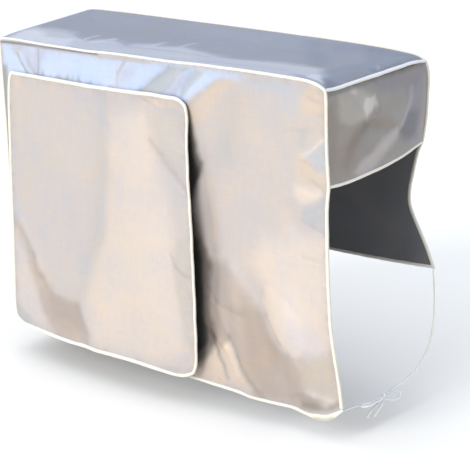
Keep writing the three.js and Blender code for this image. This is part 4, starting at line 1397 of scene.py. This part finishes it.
def tie_tube(name, line, twist, tie, material, flatness=1.0):
    """A narrow folded tape along a line, turning slowly on itself, with rounded ends."""
    heading, side, rise = carried_frames(line)
    along = lengths(line)
    share = along / along[-1]
    angle = twist * (share + 0.08 * np.sin(7 * share * math.pi))
    angles = np.arange(TIE_RING) * 2 * math.pi / TIE_RING
    x = np.cos(angles) * tie.width / MM / 2
    y = np.sign(np.sin(angles)) * np.abs(np.sin(angles)) ** TIE_SQUARENESS
    y = y * tie.thickness / MM / 2 * flatness
    narrowing = (1 - np.minimum(along, along[-1] - along) / TIE_TAPER).clip(0)
    ends = 0.25 + 0.75 * np.sqrt(np.clip(1 - narrowing**2, 0, 1))
    swell = ends * (1 + 0.05 * ripple(along, 0 * along, 9, len(name)))
    turned_side = side * np.cos(angle)[:, None] + rise * np.sin(angle)[:, None]
    turned_rise = rise * np.cos(angle)[:, None] - side * np.sin(angle)[:, None]
    points, faces, flat = tube(
        line, along, turned_side, turned_rise, x * swell[:, None], y * swell[:, None], tie.width
    )
    built = new_mesh(name, points, faces, [material])
    fix_facing(built)
    point_uv(built, "cloth_metres", flat)
    point_values(built, "across", np.tile(np.cos(angles), len(line)))
    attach(built, "root")
    return built


def wire(tree, kind, inputs=None, **settings):
    """Adds a node to a tree. An input is given a value, or a socket to link from."""
    node = tree.nodes.new(kind)
    node.location = (190 * (len(tree.nodes) % 9), -260 * (len(tree.nodes) // 9))
    for name, value in settings.items():
        setattr(node, name, value)
    for name, value in (inputs or {}).items():
        if isinstance(value, bpy.types.NodeSocket):
            tree.links.new(value, node.inputs[name])
        else:
            node.inputs[name].default_value = value
    return node


def maths(tree, operation, first, second=0.0):
    """A sum of one or two numbers or sockets, as the socket that holds its result."""
    node = wire(tree, "ShaderNodeMath", {0: first, 1: second}, operation=operation)
    return node.outputs[0]


def mixed(tree, factor, first, second, blend="MIX"):
    """Two colours mixed by a factor, as the socket that holds the result."""
    node = wire(
        tree, "ShaderNodeMix", {0: factor, 6: first, 7: second}, data_type="RGBA", blend_type=blend
    )
    return node.outputs[2]


def rgba(colour):
    """A colour with full alpha."""
    return (*colour, 1.0)


def new_group(name, inputs, outputs):
    """An empty shader node group: inputs are (name, kind, default) and outputs (name, kind)."""
    tree = bpy.data.node_groups.new(name, "ShaderNodeTree")
    for label, kind, default in inputs:
        socket = tree.interface.new_socket(label, in_out="INPUT", socket_type=kind)
        if default is not None:
            socket.default_value = default
    for label, kind in outputs:
        tree.interface.new_socket(label, in_out="OUTPUT", socket_type=kind)
    entry = tree.nodes.new("NodeGroupInput")
    leave = tree.nodes.new("NodeGroupOutput")
    return tree, entry.outputs, leave.inputs


def weave_group():
    """Plain weave: threads that pass over and under one another, and slubs along them."""
    tree, entry, leave = new_group(
        "plain_weave",
        [("Cloth", "NodeSocketVector", None), ("Pitch", "NodeSocketFloat", 0.0009)],
        [("Height", "NodeSocketFloat"), ("Gap", "NodeSocketFloat"), ("Slub", "NodeSocketFloat")],
    )
    split = wire(tree, "ShaderNodeSeparateXYZ", {0: entry["Cloth"]})
    waves = []
    for axis in (0, 1):
        turns = maths(tree, "DIVIDE", split.outputs[axis], entry["Pitch"])
        angle = maths(tree, "MULTIPLY", turns, math.pi)
        waves.append(maths(tree, "SINE", angle))
    crossing = maths(tree, "MULTIPLY", waves[0], waves[1])
    height = maths(tree, "MULTIPLY_ADD", crossing, 0.5)
    height.node.inputs[2].default_value = 0.5
    gaps = [maths(tree, "ABSOLUTE", wave) for wave in waves]
    gap = maths(tree, "SUBTRACT", 1.0, maths(tree, "MULTIPLY", *gaps))
    slubs = []
    for stretch in ((12.0, 320.0, 1.0), (360.0, 9.0, 1.0)):
        mapped = wire(tree, "ShaderNodeMapping", {"Vector": entry["Cloth"], "Scale": stretch})
        noise = wire(
            tree, "ShaderNodeTexNoise",
            {"Vector": mapped.outputs[0], "Scale": 1.0, "Detail": 2.0},
        )
        slubs.append(noise.outputs[0])
    slub = maths(tree, "MULTIPLY", maths(tree, "ADD", *slubs), 0.5)
    tree.links.new(height, leave["Height"])
    tree.links.new(gap, leave["Gap"])
    tree.links.new(slub, leave["Slub"])
    return tree


def drift_group():
    """Slow drifts of warm and cool over a surface, as a colour to multiply by."""
    tree, entry, leave = new_group(
        "colour_drift",
        [
            ("Place", "NodeSocketVector", None), ("Scale", "NodeSocketFloat", 9.0),
            ("Warm", "NodeSocketColor", (1, 1, 1, 1)), ("Cool", "NodeSocketColor", (1, 1, 1, 1)),
            ("Strength", "NodeSocketFloat", 0.5),
        ],
        [("Colour", "NodeSocketColor"), ("Cloud", "NodeSocketFloat")],
    )
    cloud = wire(
        tree, "ShaderNodeTexNoise",
        {"Vector": entry["Place"], "Scale": entry["Scale"], "Detail": 3.0, "Distortion": 0.6},
    )
    steep = wire(
        tree, "ShaderNodeMapRange", {"Value": cloud.outputs[0], "From Min": 0.32, "From Max": 0.68}
    )
    hue = mixed(tree, steep.outputs[0], entry["Cool"], entry["Warm"])
    colour = mixed(tree, entry["Strength"], (1.0, 1.0, 1.0, 1.0), hue)
    tree.links.new(colour, leave["Colour"])
    tree.links.new(steep.outputs[0], leave["Cloud"])
    return tree


def crumple_group():
    """Fine crumple of coated cloth: small flats that meet at soft ridges."""
    tree, entry, leave = new_group(
        "fine_crumple",
        [("Place", "NodeSocketVector", None), ("Scale", "NodeSocketFloat", 60.0)],
        [("Height", "NodeSocketFloat")],
    )
    broad = wire(
        tree, "ShaderNodeTexNoise",
        {"Vector": entry["Place"], "Scale": entry["Scale"], "Detail": 3.0, "Distortion": 1.2},
    )
    ridge = maths(tree, "ABSOLUTE", maths(tree, "SUBTRACT", broad.outputs[0], 0.5))
    tree.links.new(maths(tree, "SUBTRACT", 0.5, ridge), leave["Height"])
    return tree


def seam_darkening_group():
    """Darkening near a seam or edge: a mask that is strong there and broken up by small clouds."""
    tree, entry, leave = new_group(
        "handling_marks",
        [
            ("Place", "NodeSocketVector", None), ("Edge", "NodeSocketFloat", 0.0),
            ("Amount", "NodeSocketFloat", 0.5),
        ],
        [("Mask", "NodeSocketFloat")],
    )
    cloud = wire(
        tree, "ShaderNodeTexNoise", {"Vector": entry["Place"], "Scale": 55.0, "Detail": 4.0}
    )
    steep = wire(
        tree, "ShaderNodeMapRange", {"Value": cloud.outputs[0], "From Min": 0.4, "From Max": 0.7}
    )
    broken = maths(tree, "MULTIPLY", steep.outputs[0], entry["Edge"])
    solid = maths(tree, "MULTIPLY", entry["Edge"], 0.35)
    whole = maths(tree, "ADD", broken, solid)
    mask = maths(tree, "MULTIPLY", whole, entry["Amount"])
    mask.node.use_clamp = True
    tree.links.new(mask, leave["Mask"])
    return tree


GROUPS = {
    "plain_weave": weave_group,
    "colour_drift": drift_group,
    "fine_crumple": crumple_group,
    "handling_marks": seam_darkening_group,
}


def shared_group(name):
    """A node group by name, made the first time that it is asked for."""
    return bpy.data.node_groups.get(name) or GROUPS[name]()


def group_node(tree, name, inputs):
    """A shared node group placed in a material's tree, as the node's outputs."""
    return wire(tree, "ShaderNodeGroup", inputs, node_tree=shared_group(name)).outputs


def drifts(tree, place, scale, warm, cool, strength):
    """Slow drifts between two colours over a surface, as the outputs of their node."""
    return group_node(tree, "colour_drift", {
        "Place": place, "Scale": scale, "Warm": rgba(warm), "Cool": rgba(cool),
        "Strength": strength,
    })


def stored(tree, name):
    """A value that the mesh's points hold, as the outputs of its node."""
    return wire(tree, "ShaderNodeAttribute", None, attribute_name=name).outputs


def multiplied(tree, first, second):
    """Two colours multiplied, as the socket that holds the result."""
    return mixed(tree, 1.0, first, second, "MULTIPLY")


def bumped(tree, height, strength, distance, under=None):
    """The normal of a bump, on top of another bump's if one is given, as a socket."""
    inputs = {"Height": height, "Strength": strength, "Distance": distance}
    if under is not None:
        inputs["Normal"] = under
    return wire(tree, "ShaderNodeBump", inputs).outputs[0]


def matt(tree, cloud, least, more):
    """A roughness that drifts with a cloud, as the socket that holds it."""
    rough = maths(tree, "MULTIPLY_ADD", cloud, more)
    rough.node.inputs[2].default_value = least
    return rough


def start_material(name):
    """A material by name with an empty tree and its shader, and whether it is new."""
    found = bpy.data.materials.get(name)
    if found:
        return found, None, None
    material = bpy.data.materials.new(name)
    material.use_nodes = True
    tree = material.node_tree
    shader = tree.nodes["Principled BSDF"]
    return material, tree, shader


def cloth_places(tree):
    """The place on the flat cloth and the place on the object, as sockets."""
    flat = wire(tree, "ShaderNodeUVMap", None, uv_map="cloth_metres")
    solid = wire(tree, "ShaderNodeTexCoord")
    return flat.outputs[0], solid.outputs["Object"]


def silver_material(cloth):
    """Silver-coated cloth: semi-gloss, its painted reflections, highlights and shade, soft
    blotches, plain weave and fine crumple.
    """
    material, tree, shader = start_material("silver_coated_cloth")
    if tree is None:
        return material
    flat, place = cloth_places(tree)
    drift = drifts(tree, place, 11.0, (1.05, 1.0, 0.95), (0.93, 0.95, 1.02), 0.75)
    mottle = drifts(tree, place, 75.0, (1.05, 1.01, 0.95), (0.94, 0.97, 1.03), 0.6)
    weave = group_node(tree, "plain_weave", {"Cloth": flat, "Pitch": cloth.weave_pitch})
    crumple = group_node(tree, "fine_crumple", {"Place": place, "Scale": 55.0})
    seam_dark = group_node(tree, "handling_marks", {
        "Place": place, "Edge": stored(tree, "seam")["Fac"], "Amount": 0.5,
    })
    colour = multiplied(tree, stored(tree, "cloth_tint")["Color"], drift["Colour"])
    colour = multiplied(tree, colour, mottle["Colour"])
    slub = wire(tree, "ShaderNodeMapRange", {
        "Value": weave["Slub"], "From Min": 0.35, "From Max": 0.65, "To Min": 0.975, "To Max": 1.02,
    })
    colour = multiplied(tree, colour, slub.outputs[0])
    colour = mixed(tree, maths(tree, "MULTIPLY", weave["Gap"], 0.12), colour, GAP_GREY)
    colour = mixed(tree, seam_dark["Mask"], colour, SEAM_DARK_GREY)
    tree.links.new(colour, shader.inputs["Base Color"])
    shader.inputs["Metallic"].default_value = cloth.metallic
    rough = wire(tree, "ShaderNodeMapRange", {
        "Value": drift["Cloud"], "To Min": cloth.roughness - 0.05, "To Max": cloth.roughness + 0.07,
    })
    rough = maths(tree, "ADD", rough.outputs[0], maths(tree, "MULTIPLY", seam_dark["Mask"], 0.2))
    tree.links.new(rough, shader.inputs["Roughness"])
    fine = bumped(tree, weave["Height"], 0.35, 0.00012)
    broad = bumped(tree, crumple["Height"], 0.3, 0.0006, fine)
    tree.links.new(broad, shader.inputs["Normal"])
    return material


def inside_material(cloth):
    """The cloth's inner side: uncoated, matt and dark."""
    material, tree, shader = start_material("cloth_inner_side")
    if tree is None:
        return material
    flat, place = cloth_places(tree)
    drift = drifts(tree, place, 8.0, (1.08, 1.04, 1.0), (0.86, 0.9, 0.96), 0.8)
    weave = group_node(tree, "plain_weave", {"Cloth": flat, "Pitch": cloth.weave_pitch})
    crumple = group_node(tree, "fine_crumple", {"Place": place, "Scale": 45.0})
    seam_dark = group_node(tree, "handling_marks", {
        "Place": place, "Edge": stored(tree, "seam")["Fac"], "Amount": 0.4,
    })
    colour = multiplied(tree, rgba(cloth.inside), drift["Colour"])
    colour = mixed(tree, maths(tree, "MULTIPLY", weave["Gap"], 0.3), colour, INNER_GAP)
    colour = mixed(tree, seam_dark["Mask"], colour, INNER_SEAM_DARK)
    tree.links.new(colour, shader.inputs["Base Color"])
    tree.links.new(matt(tree, drift["Cloud"], 0.72, 0.14), shader.inputs["Roughness"])
    fine = bumped(tree, weave["Height"], 0.5, 0.00015)
    broad = bumped(tree, crumple["Height"], 0.4, 0.001, fine)
    tree.links.new(broad, shader.inputs["Normal"])
    return material


def tape_material(name, colour, pitch, edge_darkening):
    """Matt cream tape: fine ribs, a little darkening at its edges, a painted sky reflection where
    it faces up and painted shade where it is turned under.
    """
    material, tree, shader = start_material(name)
    if tree is None:
        return material
    flat, place = cloth_places(tree)
    drift = drifts(tree, place, 24.0, (1.0, 0.98, 0.93), (0.96, 0.97, 1.0), 0.8)
    turned = wire(tree, "ShaderNodeMapping", {"Vector": flat, "Rotation": (0, 0, math.pi / 4)})
    weave = group_node(tree, "plain_weave", {"Cloth": turned.outputs[0], "Pitch": pitch})
    edge = maths(tree, "ABSOLUTE", stored(tree, "across")["Fac"])
    seam_dark = group_node(tree, "handling_marks", {
        "Place": place, "Edge": maths(tree, "POWER", edge, 3.0), "Amount": edge_darkening,
    })
    base = multiplied(tree, rgba(colour), drift["Colour"])
    base = mixed(tree, maths(tree, "MULTIPLY", weave["Gap"], 0.14), base, TAPE_GAP)
    base = mixed(tree, seam_dark["Mask"], base, TAPE_EDGE_DARK)
    # Painted sky reflection where the tape faces up, and painted shade where it is turned under.
    facing = wire(tree, "ShaderNodeNewGeometry").outputs["Normal"]
    upward = wire(tree, "ShaderNodeSeparateXYZ", {0: facing}).outputs["Z"]
    cool = wire(tree, "ShaderNodeMapRange", {"Value": upward, "From Min": 0.35, "From Max": 0.75})
    base = mixed(tree, cool.outputs[0], base, TAPE_SKY_REFLECTION)
    base = mixed(tree, stored(tree, "turned_under")["Fac"], base, TAPE_UNDER_SHADE)
    tree.links.new(base, shader.inputs["Base Color"])
    tree.links.new(matt(tree, drift["Cloud"], 0.74, 0.12), shader.inputs["Roughness"])
    ribs = bumped(tree, weave["Height"], 0.6, 0.00016)
    tree.links.new(ribs, shader.inputs["Normal"])
    return material


def floor_material(colour):
    """A plain pale studio floor with the faintest unevenness."""
    material, tree, shader = start_material("studio_floor")
    if tree is None:
        return material
    place = wire(tree, "ShaderNodeTexCoord").outputs["Object"]
    drift = drifts(tree, place, 1.2, (1.0, 0.995, 0.99), (0.99, 0.995, 1.0), 0.5)
    base = multiplied(tree, rgba(colour), drift["Colour"])
    tree.links.new(base, shader.inputs["Base Color"])
    shader.inputs["Roughness"].default_value = 0.9
    shader.inputs["Specular IOR Level"].default_value = 0.1
    return material


def colour_property(name, description, default):
    """A colour that a user can change."""
    return FloatVectorProperty(
        name=name, description=description, subtype="COLOR", size=3, min=0, max=1, default=default
    )


def length_property(name, description, default):
    """A length that a user can change, in metres."""
    return FloatProperty(
        name=name, description=description, subtype="DISTANCE", unit="LENGTH",
        min=0, default=default, precision=5,
    )


class ClothSettings(bpy.types.PropertyGroup):
    """Sizes and colours of the silver-coated cloth, with its painted light."""

    thickness: length_property("Thickness", "Thickness of the cloth", 0.0008)
    ripple_height: length_property("Ripple Height", "Height of the soft waves and crumple", 0.0006)
    pucker_height: length_property("Pucker Height", "Height of the puckers along the seams", 0.0004)
    weave_pitch: length_property("Weave Pitch", "Distance from one thread to the next", 0.0009)
    crease_depth: FloatProperty(
        name="Crease Depth", description="How strongly the creases show", min=0, max=2, default=1.0
    )
    metallic: FloatProperty(
        name="Metallic", description="How metallic the coating is",
        subtype="FACTOR", min=0, max=1, default=0.25,
    )
    roughness: FloatProperty(
        name="Roughness", description="How matt the coating is",
        subtype="FACTOR", min=0.1, max=0.9, default=0.5,
    )
    # Painted shade in creases and painted highlight on ridges.
    crease_shade: FloatProperty(
        name="Crease Shade", description="How much darker a crease is for each millimetre of depth",
        min=0, max=0.3, default=0.05,
    )
    # One cloth in lit and shaded copies: the front and flap lit, the top a darker, bluer painted
    # reflection, the sides and back in painted shade.
    beige: colour_property("Front", "Coating on the front", (0.565, 0.512, 0.475))
    pearl: colour_property("Flap", "Coating on the flap", (0.545, 0.50, 0.47))
    slate: colour_property("Top", "Coating on the top", (0.25, 0.28, 0.352))
    stone: colour_property("Sides", "Coating on the sides and back", (0.30, 0.285, 0.262))
    inside: colour_property("Inside", "Uncoated inner side", (0.19, 0.19, 0.195))


class PaintedPaletteSettings(bpy.types.PropertyGroup):
    """Colours of the painted reflections, highlights and shade over the coating."""

    __annotations__ = {
        name: colour_property(name.title(), f"{where}: patches of this colour", default)
        for name, (where, default) in PALETTE.items()
    }


class TapeSettings(bpy.types.PropertyGroup):
    """Sizes and colours of the binding tape."""

    width: length_property("Width", "Width of the folded tape", 0.0057)
    thickness: length_property("Thickness", "Thickness of the folded tape", 0.0036)
    stitch_pitch: length_property("Stitch Pitch", "Distance from stitch to stitch", 0.0042)
    weave_pitch: length_property("Weave Pitch", "Distance between the tape's ribs", 0.0007)
    colour: colour_property("Colour", "Colour of the tape", (0.865, 0.825, 0.73))
    thread: colour_property("Thread", "Colour of the stitches", (0.82, 0.79, 0.72))


class TieSettings(bpy.types.PropertyGroup):
    """Sizes and colour of the ties."""

    width: length_property("Width", "Width of a tie", 0.0042)
    thickness: length_property("Thickness", "Thickness of a tie", 0.0025)
    weave_pitch: length_property("Weave Pitch", "Distance between the tie's ribs", 0.0006)
    colour: colour_property("Colour", "Colour of the ties", (0.96, 0.945, 0.915))


class StageSettings(bpy.types.PropertyGroup):
    """The floor and the lights."""

    floor_gap: length_property("Floor Gap", "Space between the cover and the floor", 0.008)
    floor_size: length_property("Floor Size", "Length of the floor's sides", 40.0)
    floor: colour_property("Floor", "Colour of the floor", (0.945, 0.94, 0.93))
    key: FloatProperty(name="Key", description="Strength of the low key light", default=1.98, min=0)
    sky: FloatProperty(
        name="Sky", description="Strength of the light from above", default=1.68, min=0
    )
    surround: FloatProperty(
        name="Surround", description="Strength of the light from all round", default=0.55, min=0
    )


def scene_settings():
    """The groups of settings of the scene."""
    return [getattr(bpy.context.scene, name) for name in SETTINGS]


def place_camera():
    """Puts the camera where the photograph was taken from."""
    data = bpy.data.cameras.new("photo_camera")
    data.lens = CAMERA_LENS
    data.sensor_width = CAMERA_SENSOR
    data.sensor_fit = "HORIZONTAL"
    camera = bpy.data.objects.new("photo_camera", data)
    bpy.context.collection.objects.link(camera)
    yaw, pitch, roll = (math.radians(a) for a in (CAMERA_YAW, CAMERA_PITCH, CAMERA_ROLL))
    back = Vector((
        math.sin(yaw) * math.cos(pitch), -math.cos(yaw) * math.cos(pitch), math.sin(pitch)
    ))
    level = (-back).cross(Vector((0, 0, 1))).normalized()
    above = level.cross(-back)
    right = math.cos(roll) * level + math.sin(roll) * above
    up = math.cos(roll) * above - math.sin(roll) * level
    turn = Matrix((right, up, back)).transposed()
    camera.matrix_world = Matrix.Translation(Vector(CAMERA_AT)) @ turn.to_4x4()
    bpy.context.scene.camera = camera


def add_sun(name, strength, towards, angle, colour):
    """A soft far light that shines from the direction towards."""
    data = bpy.data.lights.new(name, "SUN")
    data.energy = strength
    data.angle = math.radians(angle)
    data.color = colour
    light = bpy.data.objects.new(name, data)
    light.rotation_mode = "QUATERNION"
    light.rotation_quaternion = Vector(towards).to_track_quat("Z", "Y")
    bpy.context.collection.objects.link(light)


class COVER_OT_stage(bpy.types.Operator):
    """Places the camera, the pale floor and the soft studio lights"""

    bl_idname = "cover.stage"
    bl_label = "Stage"

    def execute(self, context):
        stage = context.scene.cover_stage
        place_camera()
        half = stage.floor_size / MM / 2
        low = CAD_BOX[0].z / MM - stage.floor_gap / MM
        corners = [(-half, -half, low), (half, -half, low), (half, half, low), (-half, half, low)]
        floor = new_mesh("pale_floor", corners, [(0, 1, 2, 3)], [floor_material(stage.floor)])
        add_sun("key_light", stage.key, *KEY_LIGHT)
        add_sun("sky_light", stage.sky, *SKY_LIGHT)
        world = bpy.data.worlds.new("soft_studio")
        world.use_nodes = True
        background = world.node_tree.nodes["Background"]
        background.inputs["Color"].default_value = SURROUND
        background.inputs["Strength"].default_value = stage.surround
        context.scene.world = world
        context.scene.view_settings.view_transform = "Standard"
        return {"FINISHED"}


def knot_line():
    """The line of a small overhand knot round the place where the ties meet."""
    turns = np.linspace(0, 2 * math.pi, KNOT_POINTS, endpoint=False)
    x = np.sin(turns) + 2 * np.sin(2 * turns)
    y = np.cos(turns) - 2 * np.cos(2 * turns)
    z = -np.sin(3 * turns)
    return KNOT_AT + np.stack([z, y, x], axis=1) * KNOT_SIZE


class COVER_OT_ties(bpy.types.Operator):
    """Builds the two ties with the loops and knot of their bow and the small knot at one end"""

    bl_idname = "cover.ties"
    bl_label = "Ties and Bow"

    def execute(self, context):
        tie = context.scene.cover_tie
        material = tape_material("tie_tape", tie.colour, tie.weave_pitch, 0.3)
        knot = tie_tube("bow_knot", knot_line(), 2.0, tie, material)
        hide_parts("tie_knot")
        for row in TIES:
            line = route(row.name)
            built = tie_tube(row.name, line, row.twist, tie, material)
            if row.replaces:
                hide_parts(row.replaces)
            pieces = [knot] if row.name == "front_tie" else []
            if row.far_end == "knot":
                pieces.append(self.end_knot(line, tie, material))
        return {"FINISHED"}

    def end_knot(self, line, tie, material):
        """A tight little knot at the free end of a tie."""
        turns = np.linspace(0, END_TURNS * 2 * math.pi, END_POINTS)
        heading = unit(line[-1] - line[-4])
        side = unit(np.cross(heading, [1.0, 0.1, 0.2]))
        rise = np.cross(side, heading)
        least, more = END_RADIUS
        radius = more * np.sin(np.linspace(0.25, math.pi - 0.25, END_POINTS)) + least
        middle = line[-1] + heading * np.linspace(*END_SPAN, END_POINTS)[:, None]
        wound = middle + side * (np.cos(turns) * radius)[:, None]
        wound = wound + rise * (np.sin(turns) * radius)[:, None]
        return tie_tube("long_tie_knot", wound, 0.4, tie, material, 0.9)


def cloth_operator(keys):
    """Builds the pieces named by keys."""
    cloth, painted_palette = bpy.context.scene.cover_cloth, bpy.context.scene.cover_tints
    materials = [silver_material(cloth), inside_material(cloth)]
    for key in keys:
        built = sew_cloth(key, materials, cloth, painted_palette)


class COVER_OT_top(bpy.types.Operator):
    """Builds the top"""

    bl_idname = "cover.top"
    bl_label = "Top"

    def execute(self, context):
        cloth_operator(["top"])
        return {"FINISHED"}


class COVER_OT_front(bpy.types.Operator):
    """Builds the front with its hollow beside the flap and its slanting folds"""

    bl_idname = "cover.front"
    bl_label = "Front"

    def execute(self, context):
        cloth_operator(["front"])
        return {"FINISHED"}


class COVER_OT_flap(bpy.types.Operator):
    """Builds the flap that hangs over the left part of the front"""

    bl_idname = "cover.flap"
    bl_label = "Flap"

    def execute(self, context):
        cloth_operator(["flap"])
        return {"FINISHED"}


class COVER_OT_sides(bpy.types.Operator):
    """Builds the short right side, the left side and the short back"""

    bl_idname = "cover.sides"
    bl_label = "Sides and Back"

    def execute(self, context):
        cloth_operator(["right", "left", "back"])
        return {"FINISHED"}


class COVER_OT_tapes(bpy.types.Operator):
    """Builds the binding tape on every seam and free edge"""

    bl_idname = "cover.tapes"
    bl_label = "Binding Tapes"

    def execute(self, context):
        tape = context.scene.cover_tape
        materials = [
            tape_material("binding_tape", tape.colour, tape.weave_pitch, 0.35),
            tape_material("stitch_thread", tape.thread, tape.weave_pitch / 2, 0.1),
        ]
        for row in TAPES:
            bind_edge(row, materials, tape)
        return {"FINISHED"}


OPERATORS = [
    COVER_OT_stage, COVER_OT_ties, COVER_OT_top, COVER_OT_front, COVER_OT_flap, COVER_OT_sides,
    COVER_OT_tapes,
]


class COVER_PT_sidebar(bpy.types.Panel):
    """Lists the cover's pieces and settings"""

    bl_idname = "COVER_PT_sidebar"
    bl_label = "Unit Cover"
    bl_space_type = "VIEW_3D"
    bl_region_type = "UI"
    bl_category = "Unit Cover"

    def draw(self, context):
        for operator in OPERATORS:
            self.layout.operator(operator.bl_idname)
        for settings in scene_settings():
            box = self.layout.box()
            for name in settings.__annotations__:
                box.prop(settings, name)


SETTINGS = {
    "cover_cloth": ClothSettings,
    "cover_tints": PaintedPaletteSettings,
    "cover_tape": TapeSettings,
    "cover_tie": TieSettings,
    "cover_stage": StageSettings,
}


def register():
    """Adds the settings, the operators and the panel to Blender."""
    for name, settings in SETTINGS.items():
        bpy.utils.register_class(settings)
        setattr(bpy.types.Scene, name, PointerProperty(type=settings))
    for operator in OPERATORS:
        bpy.utils.register_class(operator)
    bpy.utils.register_class(COVER_PT_sidebar)


def unregister():
    """Takes the panel, the operators and the settings out of Blender."""
    bpy.utils.unregister_class(COVER_PT_sidebar)
    for operator in reversed(OPERATORS):
        bpy.utils.unregister_class(operator)
    for name, settings in reversed(SETTINGS.items()):
        delattr(bpy.types.Scene, name)
        bpy.utils.unregister_class(settings)


def main():
    register()
    for step in ("stage", "ties", "top", "front", "flap", "sides", "tapes"):
        getattr(bpy.ops.cover, step)()


if __name__ == "__main__":
    main()
